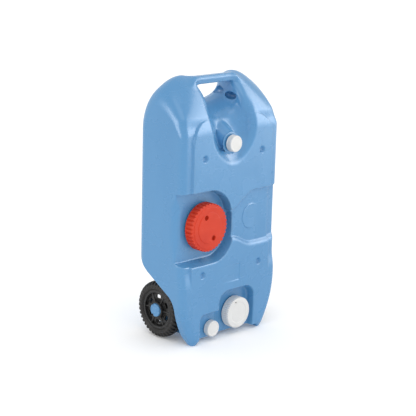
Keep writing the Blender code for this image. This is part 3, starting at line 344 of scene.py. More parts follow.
def tank_field(x, y, z):
    """Rises through zero at the tank's skin, from the inside out."""
    relief = front_relief(x, z) * ease((-0.010 - y) / 0.030)
    y_moved = y - relief
    tuck = np.maximum(TUCK_HEIGHT - z, 0.0)
    flank = np.abs(x) - HALF_WIDTH + TUCK_IN * (tuck / TUCK_HEIGHT) ** 2
    flank = flank / np.sqrt(1.0 + (2 * TUCK_IN * tuck / TUCK_HEIGHT ** 2) ** 2)
    # the outer edge gets softer towards the back and over the arch
    height = np.maximum(z - SPRING, 0.0) / RISE
    edge = np.maximum(ease((y + 0.010) / 0.050), 0.7 * ease((z - 0.47) / 0.06))
    body = meet(arch_line(x, y_moved, z), flank, SHARP_EDGE + (SOFT_EDGE - SHARP_EDGE) * edge)
    # the valley's edge is cut off at 45 degrees, and the cut widens with height
    scoop = valley(x, y, z)
    bevel = 0.001 + 0.0080 * ease((z - 0.395) / 0.06)
    body = meet(carve(body, scoop, 0.0025), (body - scoop + bevel) / 1.414, 0.0020 + 0.007 * height)
    for depth, drop, sizes in HOLLOWS:
        body = carve(body, ball(np.abs(x), y, z, (0.057, depth, TOP - drop), sizes), 0.003)
    # recesses of the front, the filler's with a soft lip where it opens to the flank
    body = carve(body, side_place(x, y_moved, z), 0.0030)
    lip = ease((-0.116 - x) / 0.016) * ease((z - 0.190) / 0.060) * ease((0.345 - z) / 0.030)
    body = carve(body, filler_place(x, y, z), 0.0018 + 0.0140 * lip)
    drain_place = arched_place(x, y_moved, z, left=-0.093, right=-0.027, top=0.070,
                               radius_left=0.015, radius_right=0.001, deep=0.0155)
    outlet_place = arched_place(x, y_moved, z, left=-0.034, right=0.078, top=0.1115,
                                radius_left=0.028, radius_right=0.028, deep=0.0205)
    body = carve(carve(body, drain_place, 0.003), outlet_place, 0.003)
    # wheel wells, the back of the block between them, the hollow under it, and the feet's toes
    body = carve(body, wheel_well(x, y, z), 0.003)
    keel, = keel_rule(z)
    body = meet(body, (y - keel) / 1.1, 0.006)
    belly = meet(z - 0.009, np.abs(x) - 0.0975 + 0.35 * z, 0.003)
    body = carve(body, belly, 0.002)
    toe = ((0.012 - z) * 0.007 + (FRONT - y) * 0.012) / 0.0139
    body = meet(body, toe, 0.004)
    # the spout's hump and the handle are set into the valley last
    groove_deep = 0.006
    cone, collar, groove = hump(x, y, z)
    body = carve(body, meet(groove, scoop - groove_deep, 0.003), 0.003)
    body = merge(body, cone, 0.003)
    body = merge(body, collar, 0.0008)
    body = merge(body, handle(x, y, z), 0.004 + 0.006 * ease((np.abs(x) - 0.055) / 0.010))
    return meet(body, -z, 0.0015)


def skin_of(field, low, high, step):
    """Points and four-sided faces of a field's zero level on a grid: one point in each cell that
    the skin crosses, at the middle of its crossings, and a face round each crossed grid line."""
    axes = [np.arange(a, b + step, step, dtype=np.float32) for a, b in zip(low, high)]
    values = field(axes[0][:, None, None], axes[1][None, :, None], axes[2][None, None, :])
    inside = values < 0
    corners = [(i, j, k) for i in (0, 1) for j in (0, 1) for k in (0, 1)]
    count = [n - 1 for n in inside.shape]
    part = lambda grid, c: grid[c[0]:c[0] + count[0], c[1]:c[1] + count[1], c[2]:c[2] + count[2]]
    filled = sum(part(inside, c).astype(np.int8) for c in corners)
    cells = np.argwhere((filled > 0) & (filled < 8))
    number = np.full(count, -1, np.int32)
    number[tuple(cells.T)] = np.arange(len(cells))
    total = np.zeros((len(cells), 3))
    crossings = np.zeros(len(cells))
    for a in corners:
        for axis in range(3):
            if a[axis]:
                continue
            b = tuple(c + (n == axis) for n, c in enumerate(a))
            va = values[tuple((cells + a).T)]
            vb = values[tuple((cells + b).T)]
            crossed = (va < 0) != (vb < 0)
            share = np.where(crossed, va / np.where(crossed, va - vb, 1.0), 0.0)
            place = np.array(a)[None, :] + share[:, None] * (np.arange(3) == axis)
            total += place * crossed[:, None]
            crossings += crossed
    points = (cells + total / crossings[:, None]) * step + np.array(low)
    faces = []
    for axis in range(3):
        u, v = (axis + 1) % 3, (axis + 2) % 3
        ahead = [slice(None)] * 3
        ahead[axis] = slice(1, None)
        behind = [slice(None)] * 3
        behind[axis] = slice(None, -1)
        first, second = inside[tuple(behind)], inside[tuple(ahead)]
        edges = np.argwhere(first != second)
        clear_low = (edges[:, u] > 0) & (edges[:, v] > 0)
        clear_high = (edges[:, u] < count[u]) & (edges[:, v] < count[v])
        edges = edges[clear_low & clear_high]
        goes_out = first[tuple(edges.T)]
        ring = []
        for du, dv in ((0, 0), (1, 0), (1, 1), (0, 1)):
            cell = edges.copy()
            cell[:, u] -= 1 - du
            cell[:, v] -= 1 - dv
            ring.append(number[tuple(cell.T)])
        ring = np.array(ring).T
        faces.append(np.where(goes_out[:, None], ring, ring[:, ::-1]))
    return points, np.concatenate(faces)


def settle(points, field, rounds):
    """Move points along the field's slope onto its zero level; gives them and their normals."""
    reach, longest_move, least_size = 0.0002, 0.0015, 0.05
    for _ in range(rounds):
        x, y, z = points.T
        here = field(x, y, z)
        slope = np.array([field(x + reach, y, z) - here, field(x, y + reach, z) - here,
                          field(x, y, z + reach) - here]).T / reach
        size = np.maximum((slope ** 2).sum(1), least_size)
        move = -(here / size)[:, None] * slope
        length = np.linalg.norm(move, axis=1, keepdims=True)
        points = points + move * np.minimum(1.0, longest_move / np.maximum(length, 1e-9))
    return points, slope / np.sqrt(size)[:, None]


grid_step = 0.0024
tank_low, tank_high = (-0.154, -0.080, -0.004), (0.154, 0.080, 0.602)
tank_points, tank_faces = skin_of(tank_field, tank_low, tank_high, grid_step)
tank_points, tank_normals = settle(tank_points, tank_field, rounds=3)
tank_points[:, 1] += MIDDLE_Y
tank = plain_mesh("tank_body", tank_points.tolist(), tank_faces.tolist())
tank.data.shade_smooth()
tank.data.normals_split_custom_set_from_vertices(tank_normals.tolist())


def surface(name, main, dark, worn_and_highlight, rough, grain=(900.0, 0.02), flow=(5.0, 5.0, 2.0), gloss=0.45,
            metal=0.0, scuff=0.10):
    """Moulded or cast surface: colour that drifts, fine grain, scuffs, and paler edges, which are
    partly wear and partly a painted highlight. grain is the scale and the depth in millimetres of the
    finest roughness, and flow stretches the drift."""
    made = bpy.data.materials.new(name)
    made.use_nodes = True
    tree = made.node_tree
    shader = tree.nodes["Principled BSDF"]

    def node(kind, **settings):
        new = tree.nodes.new("ShaderNode" + kind)
        for key, value in settings.items():
            if hasattr(new, key):
                setattr(new, key, value)
            else:
                new.inputs[key].default_value = value
        return new

    def noise(scale, detail, stretch=(1.0, 1.0, 1.0)):
        spread = node("Mapping")
        spread.inputs["Scale"].default_value = stretch
        tree.links.new(place.outputs["Object"], spread.inputs["Vector"])
        cloud = node("TexNoise", Scale=scale, Detail=detail)
        tree.links.new(spread.outputs["Vector"], cloud.inputs["Vector"])
        return cloud.outputs["Fac"]

    def ranged(value, low, high, start, end):
        change = node("MapRange", interpolation_type="SMOOTHSTEP")
        tree.links.new(value, change.inputs["Value"])
        for key, number in (("From Min", low), ("From Max", high), ("To Min", start), ("To Max", end)):
            change.inputs[key].default_value = number
        return change.outputs["Result"]

    def blended(share, first, second):
        mix = node("Mix", data_type="RGBA")
        tree.links.new(share, mix.inputs["Factor"])
        for socket, value in ((mix.inputs["A"], first), (mix.inputs["B"], second)):
            if isinstance(value, tuple):
                socket.default_value = (*value, 1.0)
            else:
                tree.links.new(value, socket)
        return mix.outputs["Result"]

    def math_of(kind, first, second):
        sum_node = node("Math", operation=kind)
        for socket, value in zip(sum_node.inputs, (first, second)):
            if isinstance(value, float):
                socket.default_value = value
            else:
                tree.links.new(value, socket)
        return sum_node.outputs["Value"]

    place = node("TexCoord")
    drift = ranged(noise(1.0, 3.0, flow), 0.30, 0.70, 0.0, 1.0)
    specks = ranged(noise(260.0, 2.0), 0.66, 0.74, 0.0, scuff)
    scratches = ranged(noise(30.0, 6.0, (1.0, 1.0, 9.0)), 0.60, 0.68, 0.0, scuff)
    # the edges are painted paler: partly wear along them, partly a painted highlight
    rubbed_and_highlit = ranged(node("NewGeometry").outputs["Pointiness"], 0.515, 0.60, 0.0, 0.55)
    patch = ranged(noise(38.0, 4.0), 0.35, 0.62, 0.25, 1.0)
    rubbed_and_highlit = math_of("MULTIPLY", rubbed_and_highlit, patch)
    colour = blended(drift, main, dark)
    colour = blended(math_of("MAXIMUM", specks, scratches), colour, worn_and_highlight)
    # the pale colour of scuffs also paints the edges, where it serves as a painted highlight
    colour = blended(rubbed_and_highlit, colour, worn_and_highlight)
    tree.links.new(colour, shader.inputs["Base Color"])
    dull = math_of("ADD", ranged(noise(16.0, 5.0), 0.3, 0.7, rough - 0.05, rough + 0.06),
                   math_of("MULTIPLY", scratches, 0.8))
    tree.links.new(dull, shader.inputs["Roughness"])
    bump = node("Bump", Strength=0.35, Distance=grain[1] / 1000)
    tree.links.new(noise(grain[0], 3.0), bump.inputs["Height"])
    ripple = node("Bump", Strength=0.5, Distance=0.00035)
    tree.links.new(noise(26.0, 1.0), ripple.inputs["Height"])
    tree.links.new(bump.outputs["Normal"], ripple.inputs["Normal"])
    tree.links.new(ripple.outputs["Normal"], shader.inputs["Normal"])
    shader.inputs["Specular IOR Level"].default_value = gloss
    shader.inputs["Metallic"].default_value = metal
    return made


def add_piece(obj, body, stands_for, material):
    """Give a piece its material and its body, and hide the CAD node that it stands for."""
    obj.data.materials.append(material)
    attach(obj, body)
    if stands_for:
        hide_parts(stands_for)


tank_blue = surface("moulded_blue", (0.091, 0.284, 0.538), (0.080, 0.266, 0.516), (0.26, 0.47, 0.68),
                    0.26, grain=(700.0, 0.03), flow=(7.0, 7.0, 2.5), gloss=0.60, scuff=0.03)
add_piece(tank, "tank", "tank_shell", tank_blue)


# The four necks are moulded in one with the tank, with a coarse thread outside and a flat lip. They
# are meshed apart because their threads are finer than the tank's own skin.
def rounded(corners, steps=3):
    """Outline through corners of radius, height and rounding, each eased off by a short curve."""
    made = []
    rows = [Vector(corner) for corner in corners]
    most = 0.49  # of a side, so that the curves at its two ends don't meet
    for before, corner, after in zip([rows[0]] + rows[:-1], rows, rows[1:] + [rows[-1]]):
        point, cut = corner.xy, corner.z
        if not cut:
            made.append(point)
            continue
        back, ahead = before.xy - point, after.xy - point
        start = point + back.normalized() * min(cut, most * back.length)
        end = point + ahead.normalized() * min(cut, most * ahead.length)
        for step in range(steps + 1):
            t = step / steps
            made.append(start.lerp(point, t).lerp(point.lerp(end, t), t))
    return made


def divided(outline, longest):
    """The same outline with no stretch longer than this."""
    made = [outline[0]]
    for end in outline[1:]:
        start = made[-1]
        parts = max(1, math.ceil((end - start).length / longest))
        made += [start.lerp(end, (i + 1) / parts) for i in range(parts)]
    return made


def lathe(name, outline, count, place, shape=None):
    """Turned mesh. Its outline ends on the axis, or else closes on itself. shape may move the points
    by their angle, radius and height. Then the mesh is put in its place."""
    weld, crease = 0.00001, math.radians(38)
    r, h = np.array([tuple(p) for p in outline]).T[:, :, None]
    angle = np.linspace(0.0, 2 * math.pi, count, endpoint=False)[None, :]
    if shape:
        r, h = shape(angle, r, h)
    r, h = (np.broadcast_to(values, (len(outline), count)) for values in (r, h))
    points = np.stack([r * np.cos(angle), r * np.sin(angle), h], axis=2).reshape(-1, 3)
    loops = len(outline) - 1 if outline[0].x < 1e-6 else len(outline)
    i, j = np.meshgrid(np.arange(loops), np.arange(count), indexing="ij")
    row, next_row, j_next = i * count, ((i + 1) % len(outline)) * count, (j + 1) % count
    faces = np.stack([row + j, next_row + j, next_row + j_next, row + j_next], axis=2)
    made = plain_mesh(name, points.tolist(), faces.reshape(-1, 4).tolist())
    work = bmesh.new()
    work.from_mesh(made.data)
    bmesh.ops.remove_doubles(work, verts=work.verts, dist=weld)
    bmesh.ops.recalc_face_normals(work, faces=work.faces)
    work.transform(place)
    work.to_mesh(made.data)
    work.free()
    made.data.shade_smooth()
    made.data.set_sharp_from_angle(angle=crease)
    return made


def pulse(turns, share, soft):
    """1 inside a share of every turn, 0 in the rest of it, with soft steps between them."""
    off = np.abs(turns % 1.0 - 0.5)
    return 1.0 - ease((off - share / 2) / soft + 0.5)


def thread(angle, h, pitch, low, high):
    """How high a thread's ridge stands, from 0 to 1, fading at both its ends."""
    fade = 0.0012
    ridge = pulse(h / pitch - angle / (2 * math.pi), share=0.34, soft=0.24)
    return ridge * ease((h - low) / fade) * ease((high - h) / fade)


def facing_front(x, y, z):
    """Place of a cap or neck: its +Z points out of the front, to -Y."""
    return Matrix.Translation((x, y, z)) @ Matrix.Rotation(math.pi / 2, 4, "X")


LIP_GAP = 0.0028  # room for the seal between a lip and the ceiling of its cap
THREAD_GAP, THREAD_HIGH = 0.0015, 0.0008
NECK_INSIDE = 0.02  # how far a neck's tube goes on past its foot, into the tank
# each cap's place and sizes, its top's thickness, its neck's wall and foot, and its thread's pitch
CAPS = {"filler": dict(place=(-0.072, -0.062, 0.269), radius=0.05425, depth=0.0235, skirt=0.0052,
                       top=0.003, wall=0.005, foot=0.0075, pitch=0.005),
        "outlet": dict(place=(0.027, -0.066, 0.052), radius=0.03625, depth=0.0195, skirt=0.0034,
                       top=0.003, wall=0.0035, foot=0.006, pitch=0.004),
        "spout": dict(place=(0.0, -0.074, SPOUT_HEIGHT), radius=0.0185, depth=0.0140, skirt=0.0022,
                      top=0.002, wall=0.003, foot=0.0055, pitch=0.003),
        "drain": dict(place=(-0.050, -0.0698, 0.030), radius=0.0185, depth=0.0127, skirt=0.0022,
                      top=0.002, wall=0.003, foot=0.004, pitch=0.003)}


def neck(cap_name):
    """Tube with a thread outside, a rounded lip and a plain bore."""
    cap = CAPS[cap_name]
    outer = cap["radius"] - cap["skirt"] - THREAD_GAP
    inner = outer - cap["wall"]
    lip = cap["depth"] - cap["top"] - LIP_GAP
    outline = rounded(((inner, -cap["foot"] - NECK_INSIDE, 0.0), (outer, -cap["foot"], 0.0),
                       (outer, lip, 0.0008), (inner, lip, 0.0008)))

    def shape(angle, r, h):
        outside = ease((r - outer + 0.001) / 0.0008)
        return r + THREAD_HIGH * outside * thread(angle, h, cap["pitch"], 0.001, lip - 0.001), h

    made = lathe(f"{cap_name}_neck", divided(outline, 0.0005), 96, facing_front(*cap["place"]), shape)
    add_piece(made, "tank", None, tank_blue)


for cap_name in CAPS:
    neck(cap_name)

# The axle is a bright zinc-plated steel rod. It lies in the tunnel moulded through the tank, with
# its ends chamfered so that the nuts can be driven on.
zinc = surface("zinc_plate", (0.62, 0.63, 0.64), (0.50, 0.51, 0.53), (0.75, 0.75, 0.74), 0.30,
               grain=(1500.0, 0.02), flow=(40.0, 9.0, 9.0), metal=1.0, scuff=0.3)
AXLE = (0.023, 0.065)  # its depth and height
ROD = 0.006
WHEEL_X = 0.114
AXLE_END = 0.0123  # past the middle of a wheel


def on_axle(side):
    """Place of a wheel piece: its +Z points away from the tank, its height is 0 in mid-wheel."""
    return Matrix.Translation((side * WHEEL_X, *AXLE)) @ Matrix.Rotation(side * math.pi / 2, 4, "Y")


axle_outline = rounded(((0.0, AXLE_END, 0.0), (ROD, AXLE_END, 0.0012), (ROD, -WHEEL_X, 0.0)))
axle_outline += [Vector((p.x, -2 * WHEEL_X - p.y)) for p in reversed(axle_outline[:-1])]
axle = lathe("axle_rod", divided(axle_outline, 0.01), 40, on_axle(1))
add_piece(axle, "tank", "axle", zinc)

# A stamped washer lies against the tank's block on each side, and keeps the wheel off the plastic.
# Its edges are rolled over slightly by the punch.
SIDES = ((-1, "left"), (1, "right"))
PLAY = 0.0003
BORE = ROD + PLAY
HUB_START, HUB_SHOULDER = -0.0214, 0.0070  # where a hub and its bush begin and end, out from mid-wheel
WASHER_THICK, WASHER_RADIUS = 0.002, 0.012


def washer(name, side, low, stands_for):
    """Flat ring on the axle with softened edges."""
    high = low + WASHER_THICK
    outline = rounded(((BORE, high, 0.0003), (WASHER_RADIUS, high, 0.0007),
                       (WASHER_RADIUS, low, 0.0003), (BORE, low, 0.0003)))
    ring = lathe(name, outline, 64, on_axle(side))
    add_piece(ring, "tank", stands_for, zinc)


for side, label in SIDES:
    washer(f"{label}_washer_inside", side, HUB_START - PLAY - WASHER_THICK, f"{label}_inner_washer")

# Each hub turns on a bush of pale nylon, pressed into it from the inside. The bush has a chamfered
# mouth and three shallow grease grooves along its bore.
nylon = surface("nylon", (0.78, 0.76, 0.69), (0.70, 0.67, 0.58), (0.85, 0.84, 0.80), 0.42, scuff=0.15)
BUSH_RADIUS = 0.0085


def grooved(angle, r, h):
    """Three grease grooves in the bore."""
    deep, grooves = 0.0005, 3
    inside = ease((BORE + 0.0008 - r) / 0.0005)
    return r + deep * inside * pulse(angle * grooves / (2 * math.pi), share=0.12, soft=0.06), h


for side, label in SIDES:
    outline = rounded(((BORE, HUB_SHOULDER, 0.0004), (BUSH_RADIUS, HUB_SHOULDER, 0.0003),
                       (BUSH_RADIUS, HUB_START, 0.0003), (BORE, HUB_START, 0.0008)))
    bush = lathe(f"{label}_bearing_bush", divided(outline, 0.003), 96, on_axle(side), grooved)
    add_piece(bush, f"{label}_wheel", f"{label}_bush", nylon)

# The rim is moulded in glossy black plastic: a ring that holds the tyre, a web with six windows and
# stiffening ribs between them, and a hub with a pocket for the axle's nut.
rim_black = surface("rim_plastic", (0.018, 0.017, 0.017), (0.012, 0.012, 0.012), (0.12, 0.12, 0.12),
                    0.36, grain=(900.0, 0.05), gloss=0.35, scuff=0.25)
RIM_OUTER, RIM_INNER, HUB_RADIUS = 0.0457, 0.0412, 0.0185
POCKET_RADIUS, BUSH_SEAT = 0.0153, 0.0088
WINDOWS = 6
WINDOW_MIDDLE, WINDOW_HALF_HIGH, WINDOW_HALF_WIDE = 0.0300, 0.0044, 0.0068


def rim_field(x, y, z):
    """Rises through zero at the skin of a rim, in its own frame with +Z outwards."""
    r = np.hypot(x, y)
    ring = meet(meet(r - RIM_OUTER, RIM_INNER - r, 0.0008), np.abs(z) - 0.0135, 0.0012)
    bead = meet(meet(r - RIM_INNER - 0.001, 0.0393 - r, 0.0005), np.abs(z - 0.0120) - 0.0015, 0.0008)
    ring = merge(ring, bead, 0.0008)
    wave = 0.0012 * np.cos((r - WINDOW_MIDDLE) * 250)
    web = meet(np.abs(z - 0.00525 - wave) - 0.00225, meet(r - 0.043, 0.012 - r, 0.001), 0.001)
    turns = np.arctan2(y, x) * WINDOWS / (2 * math.pi)
    beside = np.abs((turns % 1.0) - 0.5) * (2 * math.pi / WINDOWS) * r
    spoke = meet(beside - 0.0016, np.abs(z - 0.0065) - 0.0045, 0.0008)
    spoke = meet(spoke, meet(r - 0.042, 0.012 - r, 0.001), 0.0008)
    body = merge(merge(ring, web, 0.0015), spoke, 0.0012)
    across = np.abs(((turns + 0.5) % 1.0) - 0.5) * (2 * math.pi / WINDOWS) * r
    window = meet(np.abs(r - WINDOW_MIDDLE) - WINDOW_HALF_HIGH, across - WINDOW_HALF_WIDE, 0.0030)
    body = carve(body, meet(window, np.abs(z - 0.005) - 0.009, 0.0005), 0.0010)
    barrel = meet(r - HUB_RADIUS, meet(z - 0.016, HUB_START - z, 0.001), 0.0012)
    body = merge(body, barrel, 0.0015)
    body = carve(body, meet(r - POCKET_RADIUS, HUB_SHOULDER - z, 0.0004), 0.0006)
    return carve(body, r - BUSH_SEAT, 0.0004)


rim_step = 0.0009
rim_low, rim_high = (-0.047, -0.047, -0.023), (0.047, 0.047, 0.018)
rim_points, rim_faces = skin_of(rim_field, rim_low, rim_high, rim_step)
rim_points, rim_normals = settle(rim_points, rim_field, rounds=3)
for side, label in SIDES:
    rim = plain_mesh(f"{label}_wheel_rim", rim_points.tolist(), rim_faces.tolist())
    rim.data.shade_smooth()
    rim.data.normals_split_custom_set_from_vertices(rim_normals.tolist())
    rim.data.transform(on_axle(side))
    add_piece(rim, f"{label}_wheel", f"{label}_rim", rim_black)

# The tyre is solid black rubber, shrunk onto the rim. Narrow lugs run from the middle of the tread
# over both shoulders and end as ribs on the side walls.
tyre_rubber = surface("tyre_rubber", (0.009, 0.008, 0.008), (0.016, 0.014, 0.013), (0.08, 0.08, 0.075),
                      0.42, grain=(1100.0, 0.12), flow=(22.0, 22.0, 22.0), gloss=0.35, scuff=0.25)
WHEEL_RADIUS, TYRE_HALF = 0.065, 0.017
LUGS, LUG_HIGH, RIB_HIGH = 38, 0.0030, 0.0009


def tyre_outline():
    """Half of the section from the bead over the side wall to the tread, and its mirror image."""
    half = ((0.0462, 0.0138, 0.0), (0.0478, 0.0146, 0.0008), (0.0490, 0.0164, 0.0015),
            (0.0535, TYRE_HALF, 0.0040), (0.0592, 0.0152, 0.0040), (0.0633, 0.0108, 0.0040),
            (0.0648, 0.0050, 0.0030), (WHEEL_RADIUS, 0.0, 0.0))
    upper = rounded(half)
    return divided(upper + [Vector((p.x, -p.y)) for p in reversed(upper[:-1])], 0.0011)


def lugged(angle, r, h):
    """Sinks the gaps between the lugs, staggered on the two sides and swept back to the middle."""
    side_share = np.abs(h) / TYRE_HALF
    sweep = 0.55 * (1.0 - side_share) ** 1.5 + 0.20 * ease((0.055 - r) / 0.006)
    turns = angle * LUGS / (2 * math.pi) + sweep * np.sign(h) + 0.25 * np.sign(h)
    gap = pulse(turns, share=0.44, soft=0.22)
    deep = LUG_HIGH * ease((r - 0.0545) / 0.0060) * ease((np.abs(h) - 0.0012) / 0.0020)
    shallow = RIB_HIGH * ease((r - 0.0500) / 0.0030) * (1.0 - ease((r - 0.0560) / 0.0030))
    rim_line = 0.0006 * pulse((r - 0.0495) / 0.006 + 0.25, share=0.35, soft=0.2) * (r < 0.0525)
    sunk = (deep + shallow) * gap
    out = np.hypot(r - 0.050, h) + 1e-6
    return r - sunk * (r - 0.050) / out, h - (sunk + rim_line) * h / out


for side, label in SIDES:
    steps = LUGS * 10
    tyre = lathe(f"{label}_lugged_tyre", tyre_outline(), steps, on_axle(side), lugged)
    add_piece(tyre, f"{label}_wheel", f"{label}_tyre", tyre_rubber)

# A second washer holds the wheel on, and a push-on nut of spring steel grips the end of the axle. Its
# crown is domed, and its flange is cut into teeth that bite the rod.
for side, label in SIDES:
    washer(f"{label}_washer_outside", side, HUB_SHOULDER + PLAY, f"{label}_outer_washer")
NUT_LOW = HUB_SHOULDER + PLAY + WASHER_THICK + PLAY
FLANGE_RADIUS = 0.0100


def toothed(angle, r, h):
    """Six shallow slots in the nut's flange."""
    deep, slots = 0.0007, 6
    slot = pulse(angle * slots / (2 * math.pi), share=0.16, soft=0.08) * ease((r - 0.0078) / 0.0006)
    return r - deep * slot, h


for side, label in SIDES:
    outline = rounded(((0.0, NUT_LOW + 0.0040, 0.0), (0.0050, NUT_LOW + 0.0040, 0.0020),
                       (0.0072, NUT_LOW + 0.0030, 0.0010), (0.0076, NUT_LOW + 0.0013, 0.0006),
                       (FLANGE_RADIUS, NUT_LOW + 0.0010, 0.0004), (FLANGE_RADIUS, NUT_LOW, 0.0003),
                       (BORE, NUT_LOW, 0.0003), (BORE, NUT_LOW + 0.0030, 0.0004),
                       (0.0, NUT_LOW + 0.0030, 0.0)))
    nut = lathe(f"{label}_push_nut", divided(outline, 0.0012), 72, on_axle(side), toothed)
    add_piece(nut, "tank", f"{label}_axle_nut", zinc)

# A cap of blue plastic snaps into the hub's pocket over the nut. It is moulded with a slightly domed
# face, a raised middle and three notches in its edge to lever it off.
hub_blue = surface("hub_cap_blue", (0.100, 0.290, 0.540), (0.085, 0.265, 0.510), (0.30, 0.50, 0.72),
                   0.34, grain=(900.0, 0.04), flow=(30.0, 30.0, 30.0), scuff=0.12)


def notched(angle, r, h):
    """Three notches in the cap's edge, on the part that stands out of the hub."""
    deep, notches = 0.0026, 3
    notch = pulse(angle * notches / (2 * math.pi) + 0.25, share=0.15, soft=0.07)
    return r - deep * notch * ease((h - 0.0155) / 0.0006) * ease((r - 0.0105) / 0.0035), h


COVER_RADIUS = 0.0150
COVER_INSIDE = COVER_RADIUS - 0.0018
for side, label in SIDES:
    outline = rounded(((0.0, 0.0197, 0.0), (0.0060, 0.0196, 0.0010), (0.0066, 0.0190, 0.0006),
                       (0.0118, 0.0187, 0.0010), (0.0126, 0.0194, 0.0006),
                       (COVER_RADIUS, 0.0190, 0.0012), (COVER_RADIUS, 0.0110, 0.0005),
                       (COVER_INSIDE, 0.0110, 0.0005), (COVER_INSIDE, 0.0160, 0.0010),
                       (0.0, 0.0160, 0.0)))
    cover = lathe(f"{label}_hub_cover", divided(outline, 0.0008), 132, on_axle(side), notched)
    add_piece(cover, f"{label}_wheel", f"{label}_hub_cap", hub_blue)

# A flat ring of grey rubber lies on the lip of each neck. The cap presses it down, so it has a
# shallow groove where the lip bears on it.
seal_rubber = surface("seal_rubber", (0.30, 0.30, 0.31), (0.25, 0.25, 0.26), (0.42, 0.42, 0.42), 0.62,
                      grain=(1300.0, 0.08), flow=(20.0, 20.0, 20.0), gloss=0.3, scuff=0.2)
SEAL_THICK, SEAL_PAST = 0.0022, 0.0006
GROOVE_HALF, GROOVE_DEEP = 0.0008, 0.0004
for cap_name, cap in CAPS.items():
    outer = cap["radius"] - cap["skirt"] - THREAD_GAP + SEAL_PAST
    inner = outer - cap["wall"]
    high = cap["depth"] - cap["top"] - PLAY
    low = high - SEAL_THICK
    middle = (inner + outer) / 2
    outline = rounded(((inner, high, 0.0005), (outer, high, 0.0005), (outer, low, 0.0004),
                       (middle + GROOVE_HALF, low, 0.0002), (middle, low + GROOVE_DEEP, 0.0002),
                       (middle - GROOVE_HALF, low, 0.0002), (inner, low, 0.0004)))
    seal = lathe(f"{cap_name}_sealing_ring", outline, 96, facing_front(*cap["place"]))
    add_piece(seal, f"{cap_name}_seal_body", f"{cap_name}_seal", seal_rubber)


# The filler cap is moulded in bright red plastic. Its rim has 36 coarse grip ribs, its face rises
# twice towards the middle, and two blind wells take the pins of a wrench.
def cap_shell(cap_name, face, ribs, deep, share, soft, reach, per_rib):
    """Ribbed screw cap with an inner thread. face is its front from the axis to the rim, as points of
    radius, drop below the front, and rounding. The grooves between its ribs are this deep, take this
    share of the rim with edges this soft, and reach this far in."""
    cap = CAPS[cap_name]
    radius, depth = cap["radius"], cap["depth"]
    inner = radius - cap["skirt"]
    ceiling = depth - cap["top"]
    corners = [(r, depth - drop, ease_off) for r, drop, ease_off in face]
    corners += [(radius, 0.0, 0.0006), (inner, 0.0, 0.0008), (inner, ceiling, 0.0008),
                (0.0, ceiling, 0.0)]

    def shape(angle, r, h):
        groove = pulse(angle * ribs / (2 * math.pi), share, soft)
        near_rim = ease((r - radius + reach) / (0.8 * reach)) * ease((h - 0.0012) / 0.0012)
        ridge_high = 0.0006
        ridge = thread(angle, h, cap["pitch"], 0.002, ceiling - 0.004)
        ridge = ridge * ease((inner + 0.001 - r) / 0.0008) * (r > inner - 0.0015)
        return r - deep * groove * near_rim - ridge_high * ridge, h

    outline = divided(rounded(corners), 0.0009)
    return lathe(f"{cap_name}_screw_cap", outline, ribs * per_rib, facing_front(*cap["place"]), shape)


CUP_WALL, WELL_SIDES = 0.0012, 40


def blind_well(obj, cap_name, at, radius, deep, stuff):
    """Sink a well into a cap's face, with the closed cup behind the face that is moulded round it."""
    cap = CAPS[cap_name]
    face, ceiling = cap["depth"], cap["depth"] - cap["top"]
    low, clear, edge = face - deep, face + 0.002, 0.0006
    place = facing_front(*cap["place"]) @ Matrix.Translation((*at, 0.0))
    bit = rounded(((0.0, clear, 0.0), (radius + edge, clear, 0.0), (radius, face - edge, 0.0004),
                   (radius, low, 0.0), (0.0, low, 0.0)))
    drill = lathe("drill", bit, WELL_SIDES, place)
    hole = obj.modifiers.new("hole", "BOOLEAN")
    hole.operation, hole.solver, hole.object = "DIFFERENCE", "EXACT", drill
    bpy.context.view_layer.update()
    evaluated = obj.evaluated_get(bpy.context.evaluated_depsgraph_get())
    cut_mesh = bpy.data.meshes.new_from_object(evaluated)
    obj.modifiers.clear()
    obj.data = cut_mesh
    bpy.data.objects.remove(drill)
    outer, under = radius + CUP_WALL, low - CUP_WALL
    cup_outline = rounded(((0.0, low, 0.0), (radius, low, 0.0006), (radius, ceiling + 0.0006, 0.0),
                           (outer, ceiling + 0.0003, 0.0), (outer, under, 0.0006), (0.0, under, 0.0)))
    cup = lathe(f"{cap_name}_well", cup_outline, WELL_SIDES, place)
    add_piece(cup, f"{cap_name}_cap_body", None, stuff)


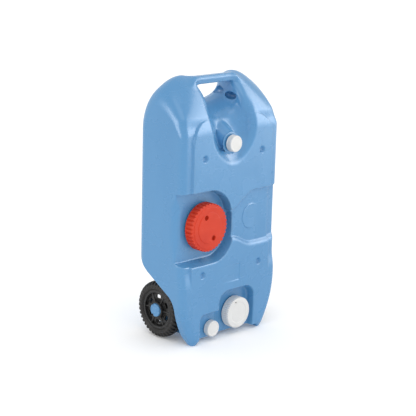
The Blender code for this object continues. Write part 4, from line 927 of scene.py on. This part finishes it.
cap_red = surface("cap_red_plastic", (0.640, 0.046, 0.016), (0.570, 0.036, 0.014), (0.78, 0.16, 0.10),
                  0.45, grain=(500.0, 0.10), flow=(16.0, 16.0, 16.0), gloss=0.20, scuff=0.10)
filler_face = ((0.0, 0.0, 0.0), (0.0345, 0.0, 0.0005), (0.0350, 0.0011, 0.0004),
               (0.0466, 0.0011, 0.0005), (0.0471, 0.0022, 0.0004), (0.0542, 0.0024, 0.0014))
filler_cap = cap_shell("filler", filler_face, ribs=36, deep=0.0026, share=0.38, soft=0.18, reach=0.0040,
                       per_rib=12)
for at in ((-0.0115, 0.0244), (0.0115, -0.0244)):
    blind_well(filler_cap, "filler", at, radius=0.0058, deep=0.0070, stuff=cap_red)
add_piece(filler_cap, "filler_cap_body", "filler_cap", cap_red)

# The outlet cap is white plastic with fine grip ribs, a rounded raised ring round its face, and a
# pinhole near the edge that lets air in.
cap_white = surface("cap_white_plastic", (0.77, 0.77, 0.76), (0.72, 0.72, 0.705), (0.80, 0.80, 0.79),
                    0.40, grain=(500.0, 0.08), flow=(18.0, 18.0, 18.0), gloss=0.25, scuff=0.05)
outlet_face = ((0.0, 0.0012, 0.0), (0.0238, 0.0012, 0.0010), (0.0252, 0.0, 0.0012),
               (0.0348, 0.0, 0.0028), (0.03625, 0.0020, 0.0012))
outlet_cap = cap_shell("outlet", outlet_face, ribs=48, deep=0.0016, share=0.42, soft=0.24, reach=0.0020,
                       per_rib=8)
blind_well(outlet_cap, "outlet", (-0.0100, 0.0262), radius=0.0021, deep=0.0060,
           stuff=cap_white)
add_piece(outlet_cap, "outlet_cap_body", "outlet_cap", cap_white)

# The spout and the drain have the same small cap of white plastic, moulded with fine ribs and a
# slightly sunk face. It screws onto its neck and has no vent.
small_face = ((0.0, 0.0006, 0.0), (0.0138, 0.0006, 0.0006), (0.0146, 0.0, 0.0008),
              (0.0173, 0.0, 0.0016), (0.0185, 0.0013, 0.0008))
for cap_name in ("spout", "drain"):
    small_cap = cap_shell(cap_name, small_face, ribs=36, deep=0.0012, share=0.42, soft=0.26,
                          reach=0.0014, per_rib=8)
    add_piece(small_cap, f"{cap_name}_cap_body", f"{cap_name}_cap", cap_white)
